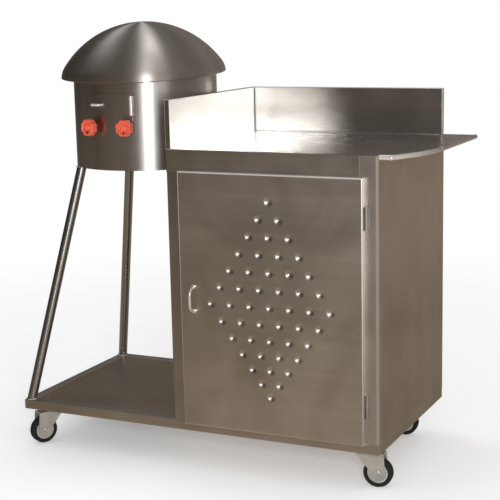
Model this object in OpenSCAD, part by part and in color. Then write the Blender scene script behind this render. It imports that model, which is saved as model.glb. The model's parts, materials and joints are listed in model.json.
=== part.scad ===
// Roomali roti range: a wheeled stainless cart that carries a convex griddle on a burner drum,
// beside a cabinet with a splash-backed worktop. Millimetres, +X right, +Y back, +Z up,
// origin on the floor in the middle of the overall length and depth.

/* [Cart] */
// Length of the base, from its left end to the cabinet's right face
base_l = 1120; // [1020:10:1300]
// Depth of the base and of the cabinet
base_d = 560; // [500:10:620]
// Height of the worktop above the floor
top_z = 900; // [840:5:960]
// Width of the cabinet
cabinet_w = 610; // [560:5:680]
// Side of the square base tubes
tube_w = 28; // [25:1:34]
// Wall of the base tubes
tube_t = 1.5; // [1.2:0.1:3]
// Thickness of the steel sheet
sheet_t = 1.5; // [1:0.1:2]
// Depth of the folded edges under the shelf and the cabinet floor
tray_fold = 15; // [8:1:22]
// How far a corner gusset reaches past a caster's top plate
gusset_lap = 3; // [1:0.5:10]
// Thickness of a corner gusset
gusset_t = 4; // [3:0.5:6]

/* [Cabinet] */
// Width of the left corner post that shows beside the door
left_stile = 41; // [30:1:50]
// Width of the right corner post that shows beside the door
right_stile = 37; // [32:1:55]
// How far the posts reach behind the door
door_lap = 14; // [8:1:20]
// Depth of the corner posts along the side
post_d = 30; // [20:1:45]
// Depth of the posts' folded inner edge
post_fold = 15; // [8:1:20]
// Radius of the right front corner
corner_r = 8; // [4:0.5:12]
// Height of the apron under the worktop's front edge
apron_h = 62; // [50:1:80]
// Depth of the stiffener under the worktop
stiffener_h = 25; // [15:1:40]
// Width of the stiffener
stiffener_w = 80; // [50:1:120]

/* [Worktop] */
// How far the side leaf stands out at the back
leaf_w = 100; // [80:5:110]
// Radius of the leaf's curved front
leaf_r = 405; // [380:5:450]
// Distance from the cabinet's front to where the leaf's curve ends
leaf_curve_l = 220; // [180:5:240]
// Diameter of the leaf's rolled edge
bead_d = 13; // [10:0.5:18]
// How much thinner the rolled edge is along the curve, where its lengths are welded
bead_step = 0.3; // [0.2:0.05:0.6]
// How far the rolled edge rises above the worktop
bead_rise = 1.2; // [0.6:0.1:3]
// Height of the splashes above the worktop
splash_h = 133; // [80:1:180]
// Thickness of the splashes
splash_t = 16; // [12:1:24]

/* [Door] */
// Thickness of the door
door_t = 17; // [14:0.5:24]
// Gap between the closed door and the cabinet
door_gap = 0.5; // [0.3:0.1:2]
// How far the door reaches over the apron
door_over_apron = 5; // [3:0.5:12]
// How far the door reaches over the base tube
door_over_base = 3; // [2:0.5:10]
// Sheet of the door
door_sheet = 1.2; // [0.8:0.1:1.6]
// Dimples in the longest row of the diamond
dimple_row = 7; // [3:1:8]
// Distance between dimples in a row
dimple_pitch = 58; // [48:1:60]
// Distance between rows of dimples
dimple_rise = 47.5; // [36:0.5:50]
// How much closer the dimples lie with each row below the middle, as a share
dimple_taper = 0.022; // [0:0.002:0.03]
// Diameter of a dimple
dimple_d = 20; // [12:1:24]
// Depth of a dimple
dimple_h = 5; // [2:0.5:6]
// How far the middle of the diamond lies above the door's middle
dimple_up = -2; // [-20:1:20]
// How far the middle of the diamond lies to the right of the door's middle
dimple_right = 3; // [-10:1:10]
// Length of the door handle
handle_l = 76; // [72:1:110]
// Reach of the door handle in front of the door
handle_reach = 30; // [26:1:45]
// Diameter of the handle's rod
handle_rod = 8; // [6:0.5:11]
// Bend of the handle's rod, to its middle line
handle_bend = 23; // [10:1:23]
// Diameter of the handle's feet
handle_foot_d = 13; // [12:0.5:18]
// Thickness of the handle's feet
handle_foot_t = 2; // [1:0.5:4]
// Distance of the handle from the door's left edge
handle_in = 42; // [30:1:60]
// Height of the handle's middle above the floor
handle_z = 494; // [415:1:575]

/* [Hinges and catch] */
// Length of a door hinge
hinge_l = 60; // [45:1:80]
// Distance of the door hinges from the door's ends
hinge_in = 75; // [50:1:150]
// Outer radius of the hinge knuckles
knuckle_r = 4; // [3.5:0.1:4.6]
// Radius of the hinge pins
pin_r = 2; // [1.5:0.1:2.5]
// Thickness of the hinge leaves
hinge_t = 1.2; // [0.8:0.1:1.5]
// Reach of the welded hinge strip on the right post, from the pin
hinge_leaf_w = 7; // [6:0.5:14]
// Distance of the hinge leaves from the door's face
hinge_leaf_in = 2; // [1:0.5:5]
// Thickness of a hinge pin's head
pin_head_t = 1.5; // [1:0.1:3]
// Width of the catch magnet
catch_w = 14; // [10:1:20]
// Length of the catch magnet
catch_l = 46; // [30:1:60]
// Depth of the catch magnet
catch_d = 16; // [10:1:24]
// Height of the catch above the floor
catch_z = 655; // [565:5:715]
// How much smaller the strike plate is than the magnet, on each side
strike_in = 1; // [0.5:0.5:3]

/* [Drum] */
// Outer radius of the burner drum
drum_r = 210; // [195:1:220]
// Wall of the drum
drum_t = 1.5; // [1.2:0.1:3]
// Height of the drum's bottom above the floor
drum_z = 825; // [805:1:845]
// Gap between the drum and the cabinet
drum_gap = 6; // [4:0.5:12]
// Inner radius of the drum's base ring
ring_in_r = 160; // [150:1:165]
// Thickness of the drum's base ring
ring_t = 3; // [2:0.5:5]
// Flue notches round the drum's top edge
flues = 12; // [6:1:16]
// Width of a flue notch
flue_w = 40; // [20:1:50]
// Height of a flue notch
flue_h = 20; // [10:1:30]
// Width of the bracket between the drum and the cabinet
bracket_w = 120; // [90:1:150]
// Height of the bracket
bracket_h = 50; // [40:1:60]
// Distance of the bracket's bottom above the drum's bottom
bracket_up = 10; // [2:1:15]
// Distance of the bracket's bolts from its edges
bracket_bolt_in = 12; // [10:0.5:15]
// Radius of the holes in the drum for the valve spindles
spindle_hole_r = 6; // [5.5:0.5:10]

/* [Hatch] */
// Width of the ignition hatch
hatch_w = 126; // [110:1:140]
// Height of the ignition hatch
hatch_h = 66; // [60:1:80]
// Height of the hatch's bottom above the floor
hatch_z = 976; // [973:1:985]
// How far the hatch overlaps its opening
hatch_lap = 6; // [4:0.5:10]
// Thickness of the hatch
hatch_t = 1.5; // [1:0.1:2]
// Length of the hatch hinge
hatch_hinge_l = 54; // [40:1:58]
// Width of the hatch hinge's leaf on the drum
hatch_leaf_w = 9; // [6:0.5:16]
// Outer radius of the hatch hinge's knuckles
hatch_knuckle_r = 5.5; // [4:0.1:6]
// Length of the hatch's pull
pull_l = 36; // [28:1:40]
// Reach of the pull
pull_reach = 16; // [15:0.5:20]
// Diameter of the pull's rod
pull_rod = 7; // [4:0.5:7]
// Distance of the pull's middle from the hatch's left edge
pull_in = 24; // [20:1:30]
// Height of the pull above the hatch's bottom
pull_up = 35; // [28:0.5:50]

/* [Griddle] */
// Radius of the griddle at its rim
griddle_r = 241; // [235:1:255]
// Height of the griddle from rim to top
griddle_h = 150; // [135:1:165]
// Radius of the griddle's turned-down rim
griddle_bend = 60; // [40:5:80]
// Slope of the griddle at its edge, in degrees
griddle_slope = 85; // [75:1:90]
// How far the loose griddle leans to the front, in degrees
griddle_lean = 3.2; // [0:0.1:3.5]
// Thickness of the griddle plate
griddle_t = 3; // [2:0.5:5]
// Height of the griddle's top above the floor
griddle_top_z = 1239; // [1228:1:1248]

/* [Burner and gas] */
// Middle radius of the outer burner ring
outer_ring_r = 110; // [104:1:115]
// Middle radius of the inner burner ring
inner_ring_r = 55; // [50:1:60]
// Width of a burner ring
ring_w = 26; // [20:1:28]
// Height of a burner ring
ring_h = 25; // [18:1:30]
// Height of the burner rings' underside above the floor
ring_z = 990; // [985:1:1000]
// Width of the flame slot in a burner ring
slot_w = 4; // [2:0.5:6]
// Depth of the flame slot
slot_h = 8; // [4:0.5:12]
// Width of the burner's support bars
bar_w = 20; // [14:1:24]
// Thickness of the support bars
bar_t = 6; // [4:0.5:8]
// Radius of a mixing tube
mixer_r = 13; // [10:0.5:14]
// Wall of a mixing tube's mouth
mixer_t = 4; // [2:0.5:5]
// Depth of a mixing tube's open mouth
mouth_l = 15; // [10:1:20]
// How far the mixing tubes reach in front of the outer ring
mixer_out = 18; // [14:1:20]
// Angle of each knob from the drum's front
knob_angle = 14.2; // [12:0.1:17]
// Height of the knobs above the floor
knob_z = 948; // [935:1:948]
// Diameter of a knob
knob_d = 50; // [44:0.5:52]
// Thickness of a knob
knob_h = 20; // [14:1:26]
// Distance of the knob's face from the drum
knob_out = 36; // [30:1:45]
// Finger scallops round a knob
scallops = 8; // [5:1:12]
// Radius of a finger scallop
scallop_r = 5; // [3:0.5:7]
// Depth of a finger scallop
scallop_h = 2.5; // [1:0.25:3]
// Width of a knob's rim
knob_rim = 7.5; // [6:0.5:9]
// Depth of the dish in a knob's face
knob_dish = 6; // [3:0.5:8]
// Diameter of a knob's hub
knob_hub_d = 18; // [14:0.5:22]
// Width of a knob's pointer rib
rib_w = 3; // [2:0.5:5]
// Radius of the valve spindles
spindle_r = 4; // [3:0.1:5]
// Radius of a valve body
valve_r = 12; // [9:0.5:14]
// Length of a valve body behind its inlet leg
valve_back = 16; // [13:0.5:18]
// Radius of a valve's injector
injector_r = 5; // [3:0.5:6]
// Length of a valve's injector
injector_l = 10; // [6:0.5:12]
// Distance of the gas manifold from the drum's axis
manifold_in = 172; // [170:1:180]
// Height of the gas manifold above the floor
manifold_z = 918; // [910:1:920]
// Radius of the gas manifold
manifold_r = 10; // [8:0.5:11]
// Height of the valve bosses above the manifold
boss_h = 4; // [2:0.5:6]
// Width of the manifold's feet
foot_w = 12; // [8:1:16]
// Thickness of the manifold's feet
foot_t = 6; // [4:0.5:8]
// Distance of the gas inlet from the drum's axis, to the left
inlet_x = 72; // [68:1:84]
// Length of the inlet leg below the manifold
inlet_drop = 8; // [5:0.5:12]
// Radius of the hose nozzle
nozzle_r = 5; // [4:0.1:6]
// Length of the hose nozzle's stem
nozzle_l = 34; // [25:1:40]
// Radius of the hose nozzle's hexagon
nozzle_nut_r = 10; // [8:0.5:11]
// Thickness of the hose nozzle's hexagon
nozzle_nut_h = 10; // [6:0.5:14]

/* [Legs] */
// Diameter of the leg tubes
leg_d = 28; // [22:1:30]
// Wall of the leg tubes
leg_t = 1.5; // [1.2:0.1:3]
// Distance of a leg's foot from the base's edges
leg_in = 16; // [15:0.5:22]
// Distance of the legs' tops from the drum's axis, to the left
leg_top_x = 145; // [135:1:148]
// Distance of the legs' tops from the drum's axis, to front and back
leg_top_y = 138; // [130:1:142]

/* [Casters] */
// Diameter of the caster wheels
wheel_d = 80; // [70:1:84]
// Width of the tyres
tyre_w = 24; // [18:1:28]
// Radius of the hub that the tyre sits on
hub_r = 28; // [24:0.5:30]
// Radius of the hub's boss
boss_r = 9; // [7:0.5:11]
// Width of the hub's outer rim
hub_rim = 4; // [2:0.5:6]
// Depth of the hub's dished faces
hub_dish = 4; // [2:0.5:6]
// How much narrower the hub is than the tyre, on each side
hub_in = 1; // [0.5:0.5:3]
// Room between a wheel and its fork's cheeks
wheel_room = 3; // [2:0.5:5]
// Room between a wheel and its fork's crown
crown_room = 12; // [6:0.5:14]
// Height of a caster from the floor to the base tubes
caster_h = 108; // [107:1:120]
// Distance of the wheel's axle behind the swivel
trail = 35; // [28:1:38]
// Distance between the bolts of a caster's top plate
bolt_pitch = 48; // [44:1:54]
// Distance from the bolts to the edge of a top plate
plate_edge = 11; // [9:0.5:14]
// Thickness of a top plate
plate_t = 4; // [3:0.5:5]
// Radius of the swivel's race
race_r = 24; // [20:0.5:26]
// Radius of the swivel's king pin
king_r = 6; // [5:0.5:8]
// Width of the king pin's head round the pin
king_rim = 3; // [2:0.5:4]
// Thickness of the king pin's head
king_head_t = 3.7; // [2:0.1:4]
// Thickness of a fork's crown
crown_t = 4; // [3:0.5:4]
// Thickness of a fork's cheeks
cheek_t = 2.5; // [2:0.5:4]
// Radius of a cheek's round end
cheek_r = 23; // [18:1:26]
// How far a fork's crown reaches behind its axle
crown_out = 18; // [12:1:22]
// Radius of the axles
axle_r = 4; // [3:0.5:5]
// Width of an axle's head round the axle
axle_rim = 3; // [2:0.5:4]
// Thickness of an axle's head
axle_head_t = 4; // [2:0.5:5]
// Diameter of the bolts
bolt_d = 8; // [6:1:8]

/* [Clearances] */
// Gap of a running fit, on the radius
run_gap = 0.05; // [0.02:0.01:0.1]
// Gap between parts that sit against each other
seat_gap = 0.3; // [0.2:0.05:0.5]
// Gap round a bolt in its hole
bolt_gap = 0.2; // [0.1:0.05:0.5]
// Room between the casters' nuts and the base tubes
nut_room = 0.8; // [0.5:0.1:4]
// Gap under the knuckles of the hatch hinge
knuckle_gap = 0.5; // [0.3:0.1:1]
// Gap between a valve's gland and the drum's wall
gland_gap = 3; // [1:0.5:5]
// Room round the hose nozzle for the hose
hose_room = 8; // [6:0.5:10]

/* [Hidden] */
$fn = 64;
over = 5;
weld = 0.5;
steel = [0.62, 0.58, 0.54];
bright = [0.78, 0.76, 0.73];
dark = [0.16, 0.16, 0.16];
iron = [0.30, 0.29, 0.28];
brass = [0.72, 0.58, 0.30];
red = [0.85, 0.25, 0.16];
grey = [0.70, 0.70, 0.68];

// Faces of the cart
x_left = -(base_l + leaf_w) / 2;
x_right = x_left + base_l;
x_cab = x_right - cabinet_w;
front_reach = door_gap + door_t + handle_reach;
y_front = -(base_d - front_reach) / 2;
y_back = y_front + base_d;
deck_z = caster_h + tube_w;
panel_z = top_z - sheet_t;
apron_z = top_z - apron_h;
bead_z = top_z + bead_rise - bead_d / 2;
left_post_w = left_stile + door_lap;
right_post_w = right_stile + door_lap;

// Door
door_x0 = x_cab + left_stile;
door_x1 = x_right - right_stile;
door_z0 = deck_z - door_over_base;
door_z1 = apron_z + door_over_apron;
door_back_y = y_front - door_gap;
door_face_y = door_back_y - door_t;
door_mid = [(door_x0 + door_x1) / 2, (door_z0 + door_z1) / 2];
dimple_r = (pow(dimple_d / 2, 2) + pow(dimple_h, 2)) / (2 * dimple_h);
hinge_x = door_x1 + hinge_t + seat_gap + knuckle_r;
hinge_y = y_front - seat_gap - knuckle_r;
hinge_zs = [door_z0 + hinge_in, door_z1 - hinge_in - hinge_l];
knuckle_l = hinge_l / 3;

// Drum, griddle and hatch
drum_x = x_cab - drum_gap - drum_r;
drum_y = y_front + base_d / 2;
bend_x = griddle_r - griddle_bend * sin(griddle_slope);
bend_z = griddle_h - griddle_bend * (1 - cos(griddle_slope));
bend_at = 2 * atan(bend_z / bend_x);
sphere_r = griddle_bend + bend_x / sin(bend_at);
sphere_z = griddle_top_z - sphere_r;
drum_top_z = sphere_z + sqrt(pow(sphere_r - griddle_t, 2) - pow(drum_r, 2)) - seat_gap;
drum_in_r = drum_r - drum_t;
hatch_in_r = drum_r + seat_gap;
hatch_out_r = hatch_in_r + hatch_t;
hatch_pin_r = drum_r + knuckle_gap + hatch_knuckle_r;
hatch_pin_x = hatch_w / 2 + seat_gap + hatch_knuckle_r;
hatch_pin_y = -sqrt(pow(hatch_pin_r, 2) - pow(hatch_pin_x, 2));
hatch_hinge_z = hatch_z + (hatch_h - hatch_hinge_l) / 2;
hatch_knuckle_l = hatch_hinge_l / 3;

// Burner and gas parts
mixer_mouth = outer_ring_r + ring_w / 2 + mixer_out;
valve_mid = manifold_in / cos(knob_angle);
boss_top_z = manifold_z + manifold_r + boss_h;
gland_end = drum_in_r - gland_gap;
nozzle_top_z = manifold_z - manifold_r - inlet_drop;
knob_face = drum_r + knob_out;
spindle_tip = knob_face - knob_dish;

// Casters
wheel_r = wheel_d / 2;
crown_z = wheel_d + crown_room;
race_z = crown_z + crown_t + seat_gap;
fork_gap = tyre_w + 2 * wheel_room;
crown_end = trail + crown_out;

// Bolts
head_d = 1.8 * bolt_d;
head_h = 0.65 * bolt_d;
nut_h = 0.8 * bolt_d;
plate_w = bolt_pitch + 2 * plate_edge;
caster_in = tube_w + nut_room + (head_d + bolt_pitch) / 2;
gusset_w = caster_in + plate_w / 2 + gusset_lap - tube_w;

// Name, swivel place and direction of the trail of each caster
casters = [
    ["front_left", x_left + caster_in, y_front + caster_in, -120],
    ["front_right", x_right - caster_in, y_front + caster_in, 5],
    ["rear_left", x_left + caster_in, y_back - caster_in, -20],
    ["rear_right", x_right - caster_in, y_back - caster_in, 185],
];

// Block between two opposite corners
module block(a, b) {
    translate(a) cube(b - a);
}

// Square tube along +X, both ends cut at 45 degrees, its long side at y = 0
module mitred_tube(l) {
    a = tube_t;
    b = tube_w - tube_t;
    difference() {
        linear_extrude(tube_w)
            polygon([[0, 0], [l, 0], [l - tube_w, tube_w], [tube_w, tube_w]]);
        translate([0, 0, tube_t]) linear_extrude(tube_w - 2 * tube_t)
            polygon([[a - over, a], [l - a + over, a], [l - b + over, b], [b - over, b]]);
    }
}

// Sheet with its four edges folded down, top at z = 0
module folded_pan(w, d) {
    difference() {
        block([0, 0, -tray_fold], [w, d, 0]);
        block([sheet_t, sheet_t, -tray_fold - over], [w - sheet_t, d - sheet_t, -sheet_t]);
    }
}

// Places its children at the swivel of each caster
module at_casters() {
    for (c = casters) translate([c[1], c[2], 0]) children();
}

// Places its children round the drum, facing out along -Y
module on_drum(angle, r, z) {
    translate([drum_x, drum_y, z]) rotate([0, 0, angle]) translate([0, -r, 0]) children();
}

// Rod bent to a bow in the XY plane: feet on x = 0, reach along +X
module bow(l, reach, rod, bend) {
    h = l / 2 - rod / 2;
    p = reach - rod / 2;
    for (s = [-1, 1]) {
        translate([0, s * h, 0]) rotate([0, 90, 0]) cylinder(d = rod, h = p - bend);
        translate([p - bend, s * (h - bend), 0]) rotate([0, 0, s > 0 ? 0 : -90])
            rotate_extrude(angle = 90) translate([bend, 0]) circle(d = rod);
    }
    translate([p, -(h - bend), 0]) rotate([-90, 0, 0]) cylinder(d = rod, h = 2 * (h - bend));
}

// Hinge knuckle on the Z axis with its pin hole
module knuckle(r, l) {
    difference() {
        cylinder(r = r, h = l);
        translate([0, 0, -over]) cylinder(r = pin_r + run_gap, h = l + 2 * over);
    }
}

// Hexagon bolt along +Z, with its head below z = 0
module hex_bolt(l) {
    translate([0, 0, -head_h]) cylinder(d = head_d, h = head_h, $fn = 6);
    cylinder(d = bolt_d, h = l);
}

// Hexagon nut on z = 0
module hex_nut() {
    difference() {
        cylinder(d = head_d, h = nut_h, $fn = 6);
        translate([0, 0, -over]) cylinder(d = bolt_d + 2 * run_gap, h = nut_h + 2 * over);
    }
}

module base_front_rail() {
    color(steel) translate([x_left, y_front, caster_h]) mitred_tube(base_l);
}

module base_rear_rail() {
    color(steel) translate([x_right, y_back, caster_h]) rotate([0, 0, 180]) mitred_tube(base_l);
}

module base_left_rail() {
    color(steel) translate([x_left, y_back, caster_h]) rotate([0, 0, -90]) mitred_tube(base_d);
}

module base_right_rail() {
    color(steel) translate([x_right, y_front, caster_h]) rotate([0, 0, 90]) mitred_tube(base_d);
}

module base_cross_rail() {
    color(steel) translate([x_cab, y_front + tube_w, caster_h]) difference() {
        cube([tube_w, base_d - 2 * tube_w, tube_w]);
        translate([tube_t, -over, tube_t])
            cube([tube_w - 2 * tube_t, base_d + 2 * over, tube_w - 2 * tube_t]);
    }
}

// Plates welded in the corners of the base, drilled for the casters
module corner_gussets() {
    xs = [x_left + tube_w, x_right - tube_w - gusset_w];
    ys = [y_front + tube_w, y_back - tube_w - gusset_w];
    color(steel) difference() {
        for (x = xs, y = ys) translate([x, y, caster_h]) cube([gusset_w, gusset_w, gusset_t]);
        at_casters() bolt_holes(caster_h - over, caster_h + gusset_t + over);
    }
}

// The four holes of a caster's top plate
module bolt_holes(z0, z1) {
    for (x = [-1, 1], y = [-1, 1]) translate([x * bolt_pitch / 2, y * bolt_pitch / 2, z0])
        cylinder(d = bolt_d + 2 * bolt_gap, h = z1 - z0);
}

// Places its children at the drum bracket's bolts, along -X from inside the cabinet
module at_bracket_bolts() {
    y = bracket_w / 2 - bracket_bolt_in;
    z = drum_z + bracket_up + bracket_h / 2;
    rise = bracket_h / 2 - bracket_bolt_in;
    for (s = [-1, 1], t = [-1, 1]) translate([x_cab + sheet_t, drum_y + s * y, z + t * rise])
        rotate([0, -90, 0]) children();
}

module hex_bolts() {
    grip = plate_t + gusset_t;
    color(bright) {
        at_casters() for (x = [-1, 1], y = [-1, 1])
            translate([x * bolt_pitch / 2, y * bolt_pitch / 2, caster_h - plate_t]) {
                hex_bolt(grip + bolt_d);
                translate([0, 0, grip]) hex_nut();
            }
        at_bracket_bolts() hex_bolt(sheet_t + drum_gap);
    }
}

module shelf_tray() {
    color(steel) translate([x_left + tube_w, y_front + tube_w, deck_z])
        folded_pan(x_cab - x_left - tube_w, base_d - 2 * tube_w);
}

module cabinet_floor() {
    color(steel) translate([x_cab + tube_w, y_front + tube_w, deck_z])
        folded_pan(cabinet_w - 2 * tube_w, base_d - 2 * tube_w);
}

// Folded post at a front corner of the cabinet, outer corner at the origin, front along +X
module corner_post(w, h, r) {
    linear_extrude(h) difference() {
        union() {
            translate([r, 0]) square([w - r, post_fold]);
            translate([0, r]) square([w, post_d - r]);
            translate([r, r]) circle(r = r);
        }
        union() {
            translate([r, sheet_t]) square([w - r - sheet_t, post_d]);
            translate([sheet_t, r]) square([w - 2 * sheet_t, post_d]);
            translate([r, r]) circle(r = r - sheet_t);
            translate([w - sheet_t - over, post_fold]) square([2 * over, post_d]);
        }
    }
}

module left_corner_post() {
    color(steel) translate([x_cab, y_front, deck_z])
        corner_post(left_post_w, apron_z - deck_z, corner_r / 2);
}

module right_corner_post() {
    color(bright) translate([x_right, y_front, deck_z]) mirror([1, 0, 0])
        corner_post(right_post_w, panel_z - deck_z, corner_r);
}

module left_side_panel() {
    color(steel) difference() {
        block([x_cab, y_front + post_d, deck_z], [x_cab + sheet_t, y_back, panel_z]);
        at_bracket_bolts() translate([0, 0, -over]) cylinder(d = bolt_d + 2 * bolt_gap, h = 4 * over);
    }
}

module right_side_panel() {
    color(steel) block([x_right - sheet_t, y_front + post_d, deck_z], [x_right, y_back, panel_z]);
}

module back_panel() {
    color(steel) block([x_cab + sheet_t, y_back - sheet_t, deck_z],
        [x_right - sheet_t, y_back, panel_z]);
}

// Front band under the worktop, with its lower edge and its left end folded in
module front_apron() {
    x1 = x_right - right_post_w;
    color(steel) {
        block([x_cab, y_front, apron_z], [x1, y_front + sheet_t, panel_z]);
        block([x_cab, y_front, apron_z], [x1, y_front + post_fold, apron_z + sheet_t]);
        block([x_cab, y_front, apron_z], [x_cab + sheet_t, y_front + post_d, panel_z]);
    }
}

// Outline of the side leaf, drawn from the cabinet's front right corner
module leaf_outline() {
    intersection() {
        translate([0, bead_d / 2]) square([leaf_w - bead_d / 2, base_d - bead_d / 2]);
        union() {
            translate([0, leaf_curve_l]) square([leaf_w, base_d]);
            translate([leaf_w - leaf_r, leaf_curve_l]) circle(r = leaf_r - bead_d / 2, $fn = 200);
        }
    }
}

// Rolled edge of the side leaf, drawn from the same corner
module leaf_bead() {
    r = leaf_r - bead_d / 2;
    low = leaf_curve_l - bead_d / 2;
    corner_x = leaf_w - leaf_r + sqrt(r * r - low * low);
    translate([leaf_w - leaf_r, leaf_curve_l, 0]) rotate([0, 0, -asin(low / r)])
        rotate_extrude(angle = asin(low / r), $fn = 200) translate([r, 0]) circle(d = bead_d - bead_step);
    translate([leaf_w - bead_d / 2, leaf_curve_l - bead_step, 0]) rotate([-90, 0, 0])
        cylinder(d = bead_d, h = base_d - leaf_curve_l + bead_step);
    translate([corner_x, bead_d / 2, 0]) sphere(d = bead_d + bead_rise);
    translate([0, bead_d / 2, 0]) rotate([0, 90, 0]) cylinder(d = bead_d, h = corner_x);
}

module worktop() {
    color(steel) {
        block([x_cab + splash_t, y_front, panel_z], [x_right, y_back - splash_t, top_z]);
        translate([x_right, y_front, panel_z]) linear_extrude(sheet_t) leaf_outline();
        translate([x_right, y_front, bead_z]) leaf_bead();
        block([x_right, y_back - sheet_t, bead_z], [x_right + leaf_w - bead_d / 2, y_back, top_z]);
    }
}

// Channel under the worktop between the side panels, in front of the drum bracket's bolts
module worktop_stiffener() {
    y0 = drum_y - bracket_w / 2 - stiffener_w;
    color(steel) difference() {
        block([x_cab + sheet_t, y0, panel_z - stiffener_h], [x_right - sheet_t, y0 + stiffener_w, panel_z]);
        block([x_cab, y0 + sheet_t, panel_z - stiffener_h + sheet_t],
            [x_right, y0 + stiffener_w - sheet_t, panel_z + over]);
    }
}

// Hollow folded splash, open below
module splash(a, b) {
    wall = [sheet_t, sheet_t, 0];
    difference() {
        block(a, b);
        block(a + wall - [0, 0, over], b - wall - [0, 0, sheet_t]);
    }
}

module left_splash() {
    color(bright) splash([x_cab, y_front, panel_z], [x_cab + splash_t, y_back, top_z + splash_h]);
}

module rear_splash() {
    color(bright) splash([x_cab + splash_t, y_back - splash_t, panel_z],
        [x_right, y_back, top_z + splash_h]);
}

// Places its children at every dimple of the diamond, on the door's face
module at_dimples() {
    for (row = [1 - dimple_row : dimple_row - 1]) {
        n = dimple_row - abs(row);
        draw = 1 - dimple_taper * max(0, -row);
        for (i = [0 : n - 1]) translate([door_mid[0] + dimple_right + (i - (n - 1) / 2) * dimple_pitch * draw,
            door_face_y, door_mid[1] + dimple_up + row * dimple_rise * draw]) children();
    }
}

// Front sheet of the door with its four edges folded back and the pressed dimples
module door_skin() {
    color(steel) difference() {
        union() {
            difference() {
                block([door_x0, door_face_y, door_z0], [door_x1, door_back_y, door_z1]);
                block([door_x0 + door_sheet, door_face_y + door_sheet, door_z0 + door_sheet],
                    [door_x1 - door_sheet, door_back_y + over, door_z1 - door_sheet]);
            }
            at_dimples() rotate([-90, 0, 0]) cylinder(d = dimple_d + door_sheet, h = dimple_h + door_sheet);
        }
        at_dimples() translate([0, dimple_h - dimple_r, 0]) sphere(r = dimple_r);
    }
}

// Back sheet of the door, between the folded edges of the front sheet
module door_inner_pan() {
    edge = door_sheet + bolt_gap;
    color(steel) block([door_x0 + edge, door_back_y - door_sheet, door_z0 + edge],
        [door_x1 - edge, door_back_y, door_z1 - edge]);
}

module door_handle() {
    color(bright) translate([door_x0 + handle_in, door_face_y, handle_z]) rotate([90, 0, -90]) {
        bow(handle_l, handle_reach, handle_rod, handle_bend);
        for (s = [-1, 1]) translate([0, s * (handle_l - handle_rod) / 2, 0]) rotate([0, 90, 0])
            cylinder(d = handle_foot_d, h = handle_foot_t);
    }
}

// Leaves on the door's right edge, with the middle knuckles
module door_hinge_leaves() {
    color(bright) for (z = hinge_zs) {
        difference() {
            union() {
                block([door_x1, door_face_y + hinge_leaf_in, z + seat_gap],
                    [door_x1 + hinge_t, door_back_y - seat_gap, z + hinge_l - seat_gap]);
                translate([door_x1, hinge_y - hinge_t / 2, z + knuckle_l + seat_gap])
                    cube([hinge_x - door_x1, hinge_t, knuckle_l - 2 * seat_gap]);
            }
            translate([hinge_x, hinge_y, z]) cylinder(r = knuckle_r - weld, h = hinge_l);
        }
        translate([hinge_x, hinge_y, z + knuckle_l + seat_gap]) knuckle(knuckle_r, knuckle_l - 2 * seat_gap);
    }
}

// Leaves on the right corner post, with the outer knuckles
module post_hinge_leaves() {
    clear = sqrt(pow(knuckle_r + seat_gap, 2) - pow(y_front - hinge_t - hinge_y, 2));
    color(bright) for (z = hinge_zs) {
        block([hinge_x + clear, y_front - hinge_t, z], [hinge_x + hinge_leaf_w, y_front, z + hinge_l]);
        for (k = [0, 2]) {
            translate([hinge_x, hinge_y, z + k * knuckle_l]) {
                knuckle(knuckle_r, knuckle_l);
                difference() {
                    block([0, 0, 0], [knuckle_r, y_front - hinge_y, knuckle_l]);
                    translate([0, 0, -over]) cylinder(r = knuckle_r - weld, h = knuckle_l + 2 * over);
                }
            }
        }
    }
}

module door_hinge_pins() {
    color(bright) for (z = hinge_zs) translate([hinge_x, hinge_y, z]) {
        cylinder(r = pin_r, h = hinge_l);
        translate([0, 0, hinge_l]) cylinder(r = (pin_r + knuckle_r) / 2, h = pin_head_t);
    }
}

// Magnet block on the folded edge of the left post
module catch_magnet() {
    x = x_cab + left_post_w;
    y = y_front - door_gap + sheet_t + seat_gap;
    color(dark) block([x, y, catch_z], [x + catch_w, y + catch_d, catch_z + catch_l]);
}

// Plate on the back of the door that the magnet holds
module catch_strike() {
    x = x_cab + left_post_w;
    color(bright) block([x + strike_in, door_back_y, catch_z + strike_in],
        [x + catch_w - strike_in, door_back_y + sheet_t, catch_z + catch_l - strike_in]);
}

// Ring of the drum's wall between two radii, cut to a width across the front and a height
module wall_piece(r0, r1, x0, x1, z0, z1) {
    intersection() {
        translate([drum_x, drum_y, z0]) difference() {
            cylinder(r = r1, h = z1 - z0, $fn = 128);
            translate([0, 0, -over]) cylinder(r = r0, h = z1 - z0 + 2 * over, $fn = 128);
        }
        block([drum_x + x0, drum_y - r1 - over, z0], [drum_x + x1, drum_y, z1]);
    }
}

module drum_shell() {
    half = hatch_w / 2 - hatch_lap;
    color(steel) difference() {
        translate([drum_x, drum_y, drum_z]) cylinder(r = drum_r, h = drum_top_z - drum_z, $fn = 128);
        translate([drum_x, drum_y, drum_z - over])
            cylinder(r = drum_in_r, h = drum_top_z - drum_z + 2 * over, $fn = 128);
        block([drum_x - half, drum_y - drum_r - over, hatch_z + hatch_lap],
            [drum_x + half, drum_y - drum_r / 2, hatch_z + hatch_h - hatch_lap]);
        for (s = [-1, 1]) on_drum(s * knob_angle, drum_r + over, knob_z) rotate([-90, 0, 0])
            cylinder(r = spindle_hole_r, h = drum_r / 4);
        for (i = [0 : flues - 1]) on_drum((i + 0.5) * 360 / flues, drum_r + over, drum_top_z - flue_h)
            translate([-flue_w / 2, 0, 0]) cube([flue_w, drum_r / 4, flue_h + over]);
    }
}

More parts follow.
